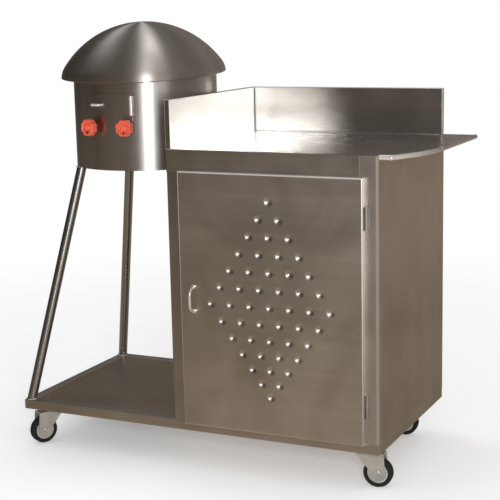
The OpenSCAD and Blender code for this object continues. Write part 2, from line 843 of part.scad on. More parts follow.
// Ring in the drum's bottom, with a hole for the hose
module drum_base_ring() {
    color(steel) translate([drum_x, drum_y, drum_z]) difference() {
        cylinder(r = drum_in_r - seat_gap, h = ring_t, $fn = 128);
        translate([0, 0, -over]) cylinder(r = ring_in_r, h = ring_t + 2 * over, $fn = 128);
        translate([-inlet_x, -manifold_in, -over]) cylinder(r = nozzle_r + hose_room, h = ring_t + 2 * over);
    }
}

// Saddle between the drum and the cabinet's left side
module drum_bracket() {
    z = drum_z + bracket_up;
    color(steel) difference() {
        block([x_cab - drum_gap - drum_r / 10, drum_y - bracket_w / 2, z],
            [x_cab, drum_y + bracket_w / 2, z + bracket_h]);
        translate([drum_x, drum_y, z - over])
            cylinder(r = drum_r + run_gap, h = bracket_h + 2 * over, $fn = 128);
        at_bracket_bolts() cylinder(d = bolt_d + 2 * bolt_gap, h = sheet_t + drum_gap + 1);
    }
}

// Curved ignition door whose right edge is rolled round its hinge pin
module hatch() {
    z0 = hatch_hinge_z + hatch_knuckle_l + seat_gap;
    l = hatch_knuckle_l - 2 * seat_gap;
    pin = [drum_x + hatch_pin_x, drum_y + hatch_pin_y];
    color(steel) {
        wall_piece(hatch_in_r, hatch_out_r, -hatch_w / 2, hatch_w / 2, hatch_z, hatch_z + hatch_h);
        difference() {
            wall_piece(hatch_in_r, hatch_out_r, 0, hatch_pin_x, z0, z0 + l);
            translate([pin[0], pin[1], z0 - over]) cylinder(r = hatch_knuckle_r - weld, h = l + 2 * over);
        }
        translate([pin[0], pin[1], z0]) knuckle(hatch_knuckle_r, l);
    }
}

// Leaf on the drum with the outer knuckles of the hatch hinge
module hatch_hinge_leaf() {
    x1 = hatch_pin_x + hatch_knuckle_r + hatch_leaf_w;
    r0 = drum_r + run_gap;
    z1 = hatch_hinge_z + hatch_hinge_l;
    pin = [drum_x + hatch_pin_x, drum_y + hatch_pin_y];
    color(bright) {
        wall_piece(r0, r0 + hinge_t, hatch_pin_x + hatch_knuckle_r + 1, x1, hatch_hinge_z, z1);
        for (k = [0, 2]) {
            z = hatch_hinge_z + k * hatch_knuckle_l;
            difference() {
                wall_piece(r0, r0 + hinge_t, hatch_pin_x, x1, z, z + hatch_knuckle_l);
                translate([pin[0], pin[1], z - over])
                    cylinder(r = hatch_knuckle_r - weld, h = hatch_knuckle_l + 2 * over);
            }
            translate([pin[0], pin[1], z]) knuckle(hatch_knuckle_r, hatch_knuckle_l);
        }
    }
}

module hatch_hinge_pin() {
    color(bright) translate([drum_x + hatch_pin_x, drum_y + hatch_pin_y, hatch_hinge_z]) {
        cylinder(r = pin_r, h = hatch_hinge_l);
        translate([0, 0, hatch_hinge_l]) cylinder(r = (pin_r + hatch_knuckle_r) / 2, h = pin_head_t);
    }
}

module hatch_pull() {
    angle = -asin((hatch_w / 2 - pull_in) / hatch_out_r);
    z = hatch_z + pull_up;
    color(bright) difference() {
        on_drum(angle, hatch_out_r - over, z) rotate([0, 0, -90])
            bow(pull_l, pull_reach + over, pull_rod, pull_rod);
        translate([drum_x, drum_y, z - pull_rod])
            cylinder(r = hatch_out_r + run_gap, h = 2 * pull_rod, $fn = 128);
    }
}

// Cast ring with a flame slot in its top
module flame_ring(r) {
    translate([drum_x, drum_y, ring_z]) rotate_extrude($fn = 128) difference() {
        translate([r - ring_w / 2, 0]) square([ring_w, ring_h]);
        translate([r - slot_w / 2, ring_h - slot_h]) square([slot_w, slot_h + over]);
    }
}

// Mixing tube from its open mouth near a valve to the neck under a ring
module mixing_tube(angle, r) {
    on_drum(angle, mixer_mouth, knob_z) {
        difference() {
            rotate([-90, 0, 0]) cylinder(r = mixer_r, h = mixer_mouth - r);
            translate([0, -over, 0]) rotate([-90, 0, 0]) cylinder(r = mixer_r - mixer_t, h = mouth_l + over);
        }
        translate([0, mixer_mouth - r, -mixer_r])
            cylinder(r = ring_w / 2 - weld, h = ring_z - knob_z + mixer_r + weld);
    }
}

module burner_outer_ring() {
    color(iron) {
        flame_ring(outer_ring_r);
        mixing_tube(knob_angle, outer_ring_r);
    }
}

module burner_inner_ring() {
    color(iron) {
        flame_ring(inner_ring_r);
        mixing_tube(-knob_angle, inner_ring_r);
    }
}

// Flat bars across the drum that carry both rings
module burner_support_bars() {
    x = inner_ring_r + ring_w / 2 - bar_w / 2;
    color(iron) intersection() {
        for (s = [-1, 1]) translate([drum_x + s * x - bar_w / 2, drum_y - drum_r, ring_z - bar_t])
            cube([bar_w, 2 * drum_r, bar_t]);
        translate([drum_x, drum_y, ring_z - 2 * bar_t])
            cylinder(r = drum_in_r - bolt_gap, h = 3 * bar_t, $fn = 128);
    }
}

// Gas pipe across the drum with two valve bosses, an inlet leg and two feet on the base ring
module gas_manifold() {
    valve_x = manifold_in * tan(knob_angle);
    foot_z = drum_z + ring_t;
    color(steel) translate([drum_x, drum_y - manifold_in, 0]) {
        translate([-inlet_x - manifold_r, 0, manifold_z]) rotate([0, 90, 0])
            cylinder(r = manifold_r, h = valve_x + inlet_x + 2 * manifold_r);
        for (s = [-1, 1]) {
            translate([s * valve_x, 0, manifold_z]) cylinder(r = manifold_r, h = boss_top_z - manifold_z);
            block([s * valve_x / 2 - foot_w / 2, -foot_t / 2, foot_z],
                [s * valve_x / 2 + foot_w / 2, foot_t / 2, manifold_z]);
        }
        translate([-inlet_x, 0, nozzle_top_z])
            cylinder(r = manifold_r, h = manifold_z - nozzle_top_z);
    }
}

// Brass valves: body bored for its spindle, inlet leg down to the manifold and injector inwards
module valve_bodies() {
    back = valve_mid - valve_back;
    color(brass) for (s = [-1, 1]) on_drum(s * knob_angle, 0, knob_z) difference() {
        union() {
            translate([0, -back, 0]) rotate([90, 0, 0]) cylinder(r = valve_r, h = gland_end - back);
            translate([0, -valve_mid, boss_top_z - knob_z])
                cylinder(r = manifold_r, h = knob_z - boss_top_z);
            translate([0, injector_l - back, 0]) rotate([90, 0, 0])
                cylinder(r = injector_r, h = injector_l + weld);
        }
        translate([0, -valve_mid, 0]) rotate([90, 0, 0])
            cylinder(r = spindle_r + run_gap, h = drum_r - valve_mid);
    }
}

// Spindle from inside the valve to inside the knob
module spindle(s) {
    color(bright) on_drum(s * knob_angle, 0, knob_z) translate([0, -valve_mid - seat_gap, 0])
        rotate([90, 0, 0]) cylinder(r = spindle_r, h = spindle_tip - valve_mid - seat_gap);
}

// Scalloped knob with a dished face, a raised hub and a pointer rib
module knob(s) {
    r = knob_d / 2;
    root = knob_face - knob_h;
    color(red) on_drum(s * knob_angle, root, knob_z) rotate([90, 0, 0]) difference() {
        union() {
            difference() {
                cylinder(r = r, h = knob_h);
                for (i = [0 : scallops - 1]) rotate([0, 0, (i + 0.5) * 360 / scallops])
                    translate([r + scallop_r - scallop_h, 0, -over])
                        cylinder(r = scallop_r, h = knob_h + 2 * over);
                translate([0, 0, knob_h - knob_dish]) cylinder(r = r - knob_rim, h = knob_h);
            }
            cylinder(d = knob_hub_d, h = knob_h);
            translate([-rib_w / 2, 0, 0]) cube([rib_w, r - knob_rim + weld, knob_h]);
        }
        translate([0, 0, -over]) cylinder(r = spindle_r + run_gap, h = spindle_tip - root + over + seat_gap);
    }
}

// Hose nozzle under the manifold's inlet leg, pointing down through the drum's open bottom
module hose_nozzle() {
    color(brass) translate([drum_x - inlet_x, drum_y - manifold_in, nozzle_top_z]) {
        translate([0, 0, -nozzle_nut_h]) cylinder(r = nozzle_nut_r, h = nozzle_nut_h, $fn = 6);
        translate([0, 0, -nozzle_nut_h - nozzle_l]) cylinder(r = nozzle_r, h = nozzle_l);
    }
}

// Convex plate, a cap of a sphere, resting on the drum's top edge
module griddle_dome() {
    color(bright) translate([drum_x, drum_y, sphere_z]) rotate([griddle_lean, 0, 0]) rotate_extrude($fn = 128) {
        plate_arc(sphere_r, 0, bend_at);
        translate((sphere_r - griddle_bend) * [sin(bend_at), cos(bend_at)])
            plate_arc(griddle_bend, bend_at, griddle_slope);
    }
}

// Section of the griddle's plate along an arc, angles from straight up
module plate_arc(r, from, to) {
    intersection() {
        difference() {
            circle(r = r, $fn = 128);
            circle(r = r - griddle_t, $fn = 128);
        }
        polygon([[0, 0], 2 * r * [sin(from), cos(from)], 2 * r * [sin(to), cos(to)]]);
    }
}

// Slanted tube from a corner of the base to the drum, cut level at both ends
module leg(foot, head) {
    d = head - foot;
    l = norm(d);
    stretch = 4 * leg_d;
    seam_turn = 50;
    room = 2 * stretch;
    color(bright) difference() {
        translate(foot) rotate([0, acos(d[2] / l), atan2(d[1], d[0])]) rotate([0, 0, seam_turn])
            translate([0, 0, -stretch]) rotate_extrude() translate([leg_d / 2 - leg_t, 0])
                square([leg_t, l + 2 * stretch]);
        translate(foot - [room, room, room]) cube([2 * room, 2 * room, room]);
        translate(head - [room, room, 0]) cube([2 * room, 2 * room, room]);
    }
}

module front_leg() {
    leg([x_left + leg_in, y_front + leg_in, deck_z], [drum_x - leg_top_x, drum_y - leg_top_y, drum_z]);
}

module rear_leg() {
    leg([x_left + leg_in, y_back - leg_in, deck_z], [drum_x - leg_top_x, drum_y + leg_top_y, drum_z]);
}

// Top plates with the swivel's race and its king pin
module caster_plates() {
    color(bright) at_casters() {
        difference() {
            translate([-plate_w / 2, -plate_w / 2, caster_h - plate_t]) cube([plate_w, plate_w, plate_t]);
            bolt_holes(caster_h - plate_t - over, caster_h + over);
        }
        translate([0, 0, race_z]) cylinder(r = race_r, h = caster_h - plate_t - race_z);
        translate([0, 0, crown_z - seat_gap]) cylinder(r = king_r, h = race_z - crown_z + seat_gap);
        translate([0, 0, crown_z - seat_gap - king_head_t]) cylinder(r = king_r + king_rim, h = king_head_t);
    }
}

// Places its children at one caster, trail along +X
module caster_frame(i) {
    c = casters[i];
    translate([c[1], c[2], 0]) rotate([0, 0, c[3]]) children();
}

// Side view of a fork's cheek: a wide top that narrows to a round end at the axle
module cheek_shape() {
    top = crown_z + crown_t;
    axle = [trail, wheel_r];
    difference() {
        union() {
            translate(axle) circle(r = cheek_r);
            polygon([[-race_r, top], [-race_r, crown_z],
                for (a = [160, 224, 360]) axle + cheek_r * [cos(a), sin(a)], [crown_end, top]]);
        }
        translate([trail, wheel_r]) circle(r = axle_r);
    }
}

// Fork: crown turning on the king pin, two cheeks and the axle bolt
module fork(i) {
    top = crown_z + crown_t;
    outer = fork_gap / 2 + cheek_t;
    color(bright) caster_frame(i) {
        difference() {
            union() {
                translate([0, 0, crown_z]) cylinder(r = race_r, h = crown_t);
                block([0, -outer, crown_z], [crown_end, outer, top]);
            }
            translate([0, 0, crown_z - over]) cylinder(r = king_r + run_gap, h = crown_t + 2 * over);
        }
        for (s = [0, 1]) translate([0, s * (fork_gap + cheek_t) - fork_gap / 2, 0]) rotate([90, 0, 0])
            linear_extrude(cheek_t) cheek_shape();
        translate([trail, outer, wheel_r]) rotate([90, 0, 0]) cylinder(r = axle_r, h = 2 * outer);
        for (s = [-1, 1]) translate([trail, s * (outer + axle_head_t / 2), wheel_r]) rotate([90, 0, 0])
            cylinder(r = axle_r + axle_rim, h = axle_head_t, center = true);
    }
}

// Hub with dished faces and a bored boss
module hub(i) {
    boss_l = fork_gap - 2 * seat_gap;
    hub_w = tyre_w - 2 * hub_in;
    color(grey) caster_frame(i) translate([trail, 0, wheel_r]) rotate([90, 0, 0])
        rotate_extrude() {
            difference() {
                translate([axle_r + run_gap, -hub_w / 2]) square([hub_r - axle_r - run_gap, hub_w]);
                for (s = [-1, 1]) translate([boss_r, s * hub_w / 2 - hub_dish])
                    square([hub_r - hub_rim - boss_r, 2 * hub_dish]);
            }
            translate([axle_r + run_gap, -boss_l / 2]) square([boss_r - axle_r - run_gap, boss_l]);
        }
}

// Tyre with a crowned tread
module tyre(i) {
    r0 = hub_r + run_gap;
    color(dark) caster_frame(i) translate([trail, 0, wheel_r]) rotate([90, 0, 0])
        rotate_extrude($fn = 96) intersection() {
            translate([r0, -tyre_w / 2]) square([wheel_r - r0, tyre_w]);
            translate([wheel_r - tyre_w, 0]) circle(r = tyre_w);
        }
}

base_front_rail();
base_rear_rail();
base_left_rail();
base_right_rail();
base_cross_rail();
corner_gussets();
hex_bolts();
shelf_tray();
cabinet_floor();
left_corner_post();
right_corner_post();
left_side_panel();
right_side_panel();
back_panel();
front_apron();
worktop();
worktop_stiffener();
left_splash();
rear_splash();
door_skin();
door_inner_pan();
door_handle();
door_hinge_leaves();
post_hinge_leaves();
door_hinge_pins();
catch_magnet();
catch_strike();
drum_shell();
drum_base_ring();
drum_bracket();
hatch();
hatch_hinge_leaf();
hatch_hinge_pin();
hatch_pull();
burner_outer_ring();
burner_inner_ring();
burner_support_bars();
gas_manifold();
valve_bodies();
spindle(-1);  // left_spindle
spindle(1);  // right_spindle
knob(-1);  // left_knob
knob(1);  // right_knob
hose_nozzle();
griddle_dome();
front_leg();
rear_leg();
caster_plates();
for (i = [0 : len(casters) - 1]) {
    name = casters[i][0];
    fork(i);
    hub(i);
    tyre(i);
}
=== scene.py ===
import json
import math

import bmesh
import bpy
from mathutils import Matrix, Vector


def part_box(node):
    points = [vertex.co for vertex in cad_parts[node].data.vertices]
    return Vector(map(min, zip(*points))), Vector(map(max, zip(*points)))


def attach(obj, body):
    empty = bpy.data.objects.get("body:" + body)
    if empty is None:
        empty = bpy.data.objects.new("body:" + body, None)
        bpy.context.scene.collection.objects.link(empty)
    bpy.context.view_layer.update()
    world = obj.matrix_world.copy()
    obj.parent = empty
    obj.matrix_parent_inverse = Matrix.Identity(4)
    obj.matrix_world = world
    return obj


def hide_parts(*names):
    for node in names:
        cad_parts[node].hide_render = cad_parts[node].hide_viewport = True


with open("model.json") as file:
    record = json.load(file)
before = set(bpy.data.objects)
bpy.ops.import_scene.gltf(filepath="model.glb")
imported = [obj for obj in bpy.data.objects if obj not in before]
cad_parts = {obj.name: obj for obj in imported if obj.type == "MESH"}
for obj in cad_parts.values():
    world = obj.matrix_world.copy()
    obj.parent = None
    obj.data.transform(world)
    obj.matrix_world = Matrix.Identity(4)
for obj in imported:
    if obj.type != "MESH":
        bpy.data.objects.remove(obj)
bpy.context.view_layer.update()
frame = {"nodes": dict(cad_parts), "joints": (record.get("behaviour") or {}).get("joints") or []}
nodes = frame["nodes"]

# Camera at the photograph's viewing angle
CAMERA_ABOVE_RAIL = 1.162
CAMERA_PLACE = Vector((1.589, -3.279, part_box("base_front_rail")[0].z + CAMERA_ABOVE_RAIL))
CAMERA_AZIMUTH = 25.50
CAMERA_ELEVATION = 10.71
CAMERA_ROLL = -1.25
CAMERA_LENS = 92.04
CAMERA_SENSOR = 36

# What counts as one point, one plane, a level face, a smooth edge, a sharp edge and a flat face
MERGE = 1e-6
TOUCH = 1e-5
LEVEL = 0.999
SMOOTH_ANGLE = math.radians(32)
SHARP_ANGLE = math.radians(40)
FLAT_ANGLE = math.radians(0.4)
FLAT_AREA = 0.02
FLAT_WEIGHT = 90

# Rounded edges and bends
SHEET_EDGE = 0.0028
TUBE_EDGE = 0.0035
PLATE_EDGE = 0.0007
EDGE_STEPS = 3
REAR_COVE = 0.0016
CORNER_COVE = 0.0045
COVE_SUNK = 0.0002

# How strongly rounded edges get a painted highlight, and the folds that stay dull (rougher)
RAIL_HIGHLIGHT = 0.15
SPLASH_HIGHLIGHT = 1.0
LEAF_HIGHLIGHT_LEAST = 0.1
LEAF_HIGHLIGHT_DEPTH = 0.28
LEAF_INSET = 0.003
DULL = -1

# Door
DOOR_SHEET = 0.0012
DOOR_EDGE = 0.0035
DOOR_CELL = 0.0027
DOOR_HIGHLIGHT_LOW = 0.12
DIMPLE_ROW = 7
DIMPLE_PITCH = 0.058
DIMPLE_RISE = 0.0475
DIMPLE_TAPER = 0.022
DIMPLE_D = 0.0245
DIMPLE_DEPTH = 0.0054
DIMPLE_UP = -0.002
DIMPLE_RIGHT = 0.003

# Griddle
GRIDDLE_R = 0.241
GRIDDLE_H = 0.150
GRIDDLE_BEND = 0.060
GRIDDLE_SLOPE = 85
GRIDDLE_LEAN = 3.2
GRIDDLE_PLATE = 0.003
GRIDDLE_SEGMENTS = 160

# Legs, their welds and the hatch's hinge barrel
LEG_D = 0.028
LEG_SIDES = 48
WELD_BEAD = 0.0032
WELD_COUNT = 44
WELD_OUT = 0.3 * WELD_BEAD
WELD_LEAST = 0.85
WELD_MOST = 1.2
BARREL_R = 0.006

# Door handle
HANDLE_ROD = 0.008
HANDLE_BEND = 0.023
HANDLE_SIDES = 24
HANDLE_FOOT_D = 0.013
HANDLE_FOOT_T = 0.002
HANDLE_FOOT_SEGMENTS = 32

# Gas knobs
KNOB_ANGLE = 14.2
KNOB_D = 0.050
KNOB_H = 0.020
KNOB_ROOT = 0.226
KNOB_FLUTES = 8
KNOB_FLUTE = 0.0028
KNOB_SEGMENTS = 96
POINTER_SIZE = (0.0032, 0.0110, 0.0060)
POINTER_OUT = 0.0125
POINTER_SUNK = 0.0035
POINTER_EDGE = 0.0007

# Wheels
CORNERS = ("front_left", "front_right", "rear_left", "rear_right")
TYRE_W = 0.024
TYRE_EDGE = 0.004
TYRE_CROWN = 0.00001
TYRE_SEGMENTS = 96
HUB_SEGMENTS = 72
AXLE_R = 0.0041


def centre_of(node):
    """Middle of a node's box."""
    low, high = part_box(node)
    return (low + high) / 2


def added(name, data):
    """A new object in the scene."""
    made = bpy.data.objects.new(name, data)
    bpy.context.scene.collection.objects.link(made)
    return made


drum_axis = sum(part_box("drum_shell"), Vector()) / 2


def camera_axes():
    """Right, up and forward direction of the photograph's camera."""
    angles = (CAMERA_AZIMUTH, CAMERA_ELEVATION, CAMERA_ROLL)
    azimuth, elevation, roll = (math.radians(a) for a in angles)
    forward = Vector((-math.sin(azimuth) * math.cos(elevation),
                      math.cos(azimuth) * math.cos(elevation), -math.sin(elevation)))
    level = Vector((math.cos(azimuth), math.sin(azimuth), 0))
    upright = level.cross(forward)
    right = math.cos(roll) * level + math.sin(roll) * upright
    up = math.cos(roll) * upright - math.sin(roll) * level
    return right, up, forward


def place_camera():
    """Sets up the camera at the photograph's place, turn and lens."""
    right, up, forward = camera_axes()
    data = bpy.data.cameras.new("photo_camera")
    data.lens = CAMERA_LENS
    data.sensor_width = CAMERA_SENSOR
    camera = added("photo_camera", data)
    turn = Matrix((right, up, -forward)).transposed()
    camera.matrix_world = Matrix.Translation(CAMERA_PLACE) @ turn.to_4x4()
    bpy.context.scene.camera = camera


# Materials

# Painted edge highlight: a pale, less metallic colour mixed into faces marked as edges
EDGE_HIGHLIGHT_COLOUR = (0.88, 0.83, 0.76)
EDGE_HIGHLIGHT_METAL = 0.6
DULL_ROUGHNESS = 1.7
NOISE_SPAN = (0.3, 0.7)
EVENLY = (1, 1, 1)
HAIRLINES = (420.0, 6.0)
STREAKS = (60.0, 1.2)


class Finish:
    """A new material with its node tree and short ways to add and link nodes."""

    def __init__(self, name):
        self.material = bpy.data.materials.new(name)
        self.material.use_nodes = True
        self.tree = self.material.node_tree
        self.shader = self.tree.nodes["Principled BSDF"]

    def add(self, kind, **settings):
        node = self.tree.nodes.new(kind)
        for key, value in settings.items():
            setattr(node, key, value)
        return node

    def link(self, source, target):
        self.tree.links.new(source, target)

    def set(self, **values):
        for key, value in values.items():
            self.shader.inputs[key.replace("_", " ")].default_value = value

    def coordinates(self, scale, attribute="Object"):
        """Coordinates of the piece, stretched by a scale along each axis."""
        place = self.add("ShaderNodeTexCoord")
        mapping = self.add("ShaderNodeMapping")
        mapping.inputs["Scale"].default_value = scale
        self.link(place.outputs[attribute], mapping.inputs["Vector"])
        return mapping.outputs["Vector"]

    def noise(self, vector, scale, detail, distortion=0.0):
        node = self.add("ShaderNodeTexNoise")
        node.inputs["Scale"].default_value = scale
        node.inputs["Detail"].default_value = detail
        node.inputs["Distortion"].default_value = distortion
        self.link(vector, node.inputs["Vector"])
        return node.outputs["Fac"]

    def between(self, value, low, high, start=0.0, end=1.0):
        """A value from start to end mapped to low to high."""
        node = self.add("ShaderNodeMapRange")
        keys = ("From Min", "From Max", "To Min", "To Max")
        for key, number in zip(keys, (start, end, low, high)):
            node.inputs[key].default_value = number
        self.link(value, node.inputs["Value"])
        return node.outputs["Result"]

    def vector(self, operation, source):
        node = self.add("ShaderNodeVectorMath", operation=operation)
        self.link(source, node.inputs[0])
        return node

    def product(self, a, b):
        node = self.add("ShaderNodeMath", operation="MULTIPLY")
        self.link(a, node.inputs[0])
        self.link(b, node.inputs[1])
        return node.outputs[0]

    def ramp(self, value, *stops):
        """A colour ramp through stops of place and colour."""
        node = self.add("ShaderNodeValToRGB")
        elements = node.color_ramp.elements
        while len(elements) < len(stops):
            elements.new(0.5)
        for element, (place, colour) in zip(elements, stops):
            element.position = place
            element.color = (*colour, 1)
        self.link(value, node.inputs["Fac"])
        return node.outputs["Color"]

    def towards(self, share, colour, other):
        """A colour mixed by a share towards a fixed one."""
        node = self.add("ShaderNodeMix", data_type="RGBA")
        node.inputs[7].default_value = (*other, 1)
        self.link(share, node.inputs[0])
        self.link(colour, node.inputs[6])
        return node.outputs[2]

    def paint_edge_highlight(self, colour, roughness):
        """Sets a metal's colour and gloss: faces marked 1 get a painted highlight, -1 means rougher
        (dull).
        """
        edge = self.add("ShaderNodeAttribute", attribute_name="edge").outputs["Fac"]
        inputs = self.shader.inputs
        highlight_colour = self.towards(self.between(edge, 0.0, 1.0), colour, EDGE_HIGHLIGHT_COLOUR)
        self.link(highlight_colour, inputs["Base Color"])
        self.link(self.between(edge, 1.0, EDGE_HIGHLIGHT_METAL), inputs["Metallic"])
        dulled = self.product(roughness, self.between(edge, 1.0, DULL_ROUGHNESS, 0.0, -1.0))
        self.link(dulled, inputs["Roughness"])

    def bump(self, height, strength, distance):
        node = self.add("ShaderNodeBump")
        node.inputs["Strength"].default_value = strength
        node.inputs["Distance"].default_value = distance
        self.link(height, node.inputs["Height"])
        self.link(node.outputs["Normal"], self.shader.inputs["Normal"])


def shade(colour, factor):
    """A colour made lighter or darker."""
    return tuple(min(1.0, c * factor) for c in colour)


def drawn_out(grain, across, along):
    """Scale of a noise that is drawn out along the grain."""
    return [along if axis == grain else across for axis in "XYZ"]


def steel_sheet(name, colour, grain, roughness, spread=0.10, ripple=0.10):
    """Brushed stainless sheet: fine grain along one axis, wipe marks, and a painted highlight on
    marked edges.
    """
    finish = Finish(name)
    hairlines = finish.noise(finish.coordinates(drawn_out(grain, *HAIRLINES)), 1.0, 2)
    streaks = finish.noise(finish.coordinates(drawn_out(grain, *STREAKS)), 1.0, 3)
    clouds = finish.noise(finish.coordinates(EVENLY), 5.5, 4, 0.6)
    tone = finish.product(finish.between(streaks, 0.93, 1.07),
                          finish.between(clouds, 0.88, 1.12, *NOISE_SPAN))
    base = finish.ramp(finish.between(tone, 0.0, 1.0, 0.8, 1.2),
                       (0.0, shade(colour, 0.80)), (0.5, colour), (1.0, shade(colour, 1.18)))
    rough = finish.product(finish.between(streaks, 1 - spread, 1 + spread),
                           finish.between(clouds, roughness * 0.9, roughness * 1.12, *NOISE_SPAN))
    finish.paint_edge_highlight(base, rough)
    finish.bump(hairlines, ripple, 0.0003)
    return finish.material


def spun_steel(name, colour, roughness, around, axis, anisotropic=0.75):
    """Polished steel with grain that runs round an upright axis, along the piece's own UV map;
    marked faces get a painted highlight.
    """
    finish = Finish(name)
    finish.set(Anisotropic=anisotropic, Anisotropic_Rotation=0.25)
    tangent = finish.add("ShaderNodeTangent", direction_type="UV_MAP", uv_map="grain")
    finish.link(tangent.outputs["Tangent"], finish.shader.inputs["Tangent"])
    rings = finish.noise(finish.coordinates((0, around, 0), "UV"), 1.0, 4)
    place = finish.add("ShaderNodeTexCoord")
    level = finish.add("ShaderNodeMapping")
    level.inputs["Location"].default_value = (-axis.x, -axis.y, 0)
    level.inputs["Scale"].default_value = (1, 1, 0)
    finish.link(place.outputs["Object"], level.inputs["Vector"])
    outward = finish.vector("NORMALIZE", level.outputs["Vector"])
    bands = finish.noise(outward.outputs["Vector"], 3.2, 3, 0.2)
    clouds = finish.noise(finish.coordinates(EVENLY), 9.0, 4, 0.8)
    tone = finish.product(finish.between(rings, 0.92, 1.08),
                          finish.between(bands, 0.88, 1.12, *NOISE_SPAN))
    base = finish.ramp(finish.between(tone, 0.0, 1.0, 0.75, 1.25),
                       (0.0, shade(colour, 0.75)), (0.5, colour), (1.0, shade(colour, 1.18)))
    rough = finish.product(finish.between(rings, 0.92, 1.08),
                           finish.between(clouds, roughness * 0.9, roughness * 1.15, *NOISE_SPAN))
    finish.paint_edge_highlight(base, rough)
    finish.bump(rings, 0.04, 0.0004)
    return finish.material


def plain_metal(name, colour, roughness, grain_scale, bump, metallic=1.0):
    """Rod, cast or plated metal: fine mottling in tone, gloss and surface."""
    finish = Finish(name)
    finish.set(Metallic=metallic)
    mottle = finish.noise(finish.coordinates(EVENLY), grain_scale, 4)
    clouds = finish.noise(finish.coordinates(EVENLY), 24.0, 3, 0.5)
    base = finish.ramp(clouds, (0.25, shade(colour, 0.82)), (0.75, shade(colour, 1.1)))
    finish.link(base, finish.shader.inputs["Base Color"])
    rough = finish.product(finish.between(mottle, 0.85, 1.15),
                           finish.between(clouds, roughness * 0.85, roughness * 1.15))
    finish.link(rough, finish.shader.inputs["Roughness"])
    finish.bump(mottle, bump, 0.0004)
    return finish.material


def moulded(name, colour, roughness, grain_scale, bump, coat=0.0, gloss=0.5):
    """Plastic or rubber: fine moulded grain, slight fading and dust."""
    finish = Finish(name)
    finish.set(Coat_Weight=coat, Coat_Roughness=0.2, Specular_IOR_Level=gloss)
    grain = finish.noise(finish.coordinates(EVENLY), grain_scale, 3)
    fading = finish.noise(finish.coordinates(EVENLY), 45.0, 3, 0.4)
    base = finish.ramp(fading, (0.2, shade(colour, 0.85)), (0.8, shade(colour, 1.15)))
    finish.link(base, finish.shader.inputs["Base Color"])
    rough = finish.between(grain, roughness * 0.85, roughness * 1.15)
    finish.link(rough, finish.shader.inputs["Roughness"])
    finish.bump(grain, bump, 0.0003)
    return finish.material


STAINLESS = (0.56, 0.53, 0.49)
SHEET_TOP = (0.59, 0.575, 0.555)
# Copies of one stainless made lighter or darker with shade() to paint in the light and shade each
# part gets: the left post darkest (painted shade), the apron and rails darker, the splashes lighter
door_sheet = steel_sheet("door_sheet", STAINLESS, "X", 0.40)
apron_sheet = steel_sheet("apron_sheet", shade(STAINLESS, 0.88), "X", 0.38)
left_post_painted_shade = steel_sheet("left_post_painted_shade", shade(STAINLESS, 0.76), "Z", 0.38)
post_sheet = steel_sheet("post_sheet", shade(STAINLESS, 0.95), "Z", 0.46)
side_sheet = steel_sheet("side_sheet", shade(STAINLESS, 0.93), "Z", 0.42)
top_sheet = steel_sheet("top_sheet", SHEET_TOP, "X", 0.26, ripple=0.008)
splash_sheet = steel_sheet("splash_sheet", shade(SHEET_TOP, 1.05), "X", 0.20, ripple=0.008)
tray_sheet = steel_sheet("tray_sheet", (0.45, 0.39, 0.33), "X", 0.36)
rail_steel = steel_sheet("rail_steel", shade(STAINLESS, 0.83), "X", 0.36)
side_rail_steel = steel_sheet("side_rail_steel", shade(STAINLESS, 0.95), "Y", 0.36)
dome_steel = spun_steel("dome_steel", (0.52, 0.49, 0.46), 0.40, 160.0, drum_axis, 0.9)
drum_steel = spun_steel("drum_steel", (0.54, 0.53, 0.52), 0.34, 300.0, drum_axis)
leg_steel = spun_steel("leg_steel", (0.45, 0.46, 0.46), 0.27, 60.0, drum_axis, 0.0)
bright_rod = plain_metal("bright_rod", (0.70, 0.68, 0.65), 0.20, 220.0, 0.04)
# The handle rod is paler and less metallic than the steel around it so it reads brighter: painted
# highlight
handle_rod = plain_metal("handle_rod", (0.82, 0.79, 0.74), 0.32, 220.0, 0.04, 0.82)
# The hinge leaves are coloured darker than the stainless: painted shade of the hinge gaps
hinge_steel = plain_metal("hinge_steel", (0.33, 0.31, 0.275), 0.45, 220.0, 0.05, 0.6)
# Pale, part-metallic finish on the hatch pull so it reads bright: painted highlight
painted_bright_pull = plain_metal("painted_bright_pull", (0.88, 0.88, 0.86), 0.42, 260.0, 0.05, 0.4)
zinc = plain_metal("zinc_plate", (0.62, 0.62, 0.60), 0.38, 300.0, 0.10)
cast_iron = plain_metal("cast_iron", (0.16, 0.15, 0.15), 0.62, 420.0, 0.5)
brass = plain_metal("valve_brass", (0.72, 0.56, 0.28), 0.32, 200.0, 0.06)
fork_zinc = plain_metal("fork_zinc", (0.64, 0.65, 0.63), 0.38, 260.0, 0.08, 0.75)
red_plastic = moulded("red_knob", (0.76, 0.110, 0.055), 0.38, 900.0, 0.05, 0.3)
pointer_plastic = moulded("knob_pointer", (0.16, 0.02, 0.015), 0.42, 900.0, 0.05)
hub_plastic = moulded("hub_grey", (0.50, 0.50, 0.48), 0.5, 900.0, 0.08)
tyre_rubber = moulded("tyre_rubber", (0.016, 0.016, 0.016), 0.7, 700.0, 0.15, gloss=0.2)
magnet_black = moulded("magnet_black", (0.04, 0.04, 0.04), 0.6, 800.0, 0.1)


# Shapes

def baked(piece, modifier):
    """Leaves a plain mesh in place of a piece's modifier."""
    bpy.context.view_layer.update()
    graph = bpy.context.evaluated_depsgraph_get()
    made = bpy.data.meshes.new_from_object(piece.evaluated_get(graph))
    piece.modifiers.remove(modifier)
    piece.data = made


def level_normals(piece):
    """Lets large faces shade flat right up to their rounded edges."""
    modifier = piece.modifiers.new("level_normals", "WEIGHTED_NORMAL")
    modifier.keep_sharp = True
    modifier.weight = FLAT_WEIGHT
    baked(piece, modifier)


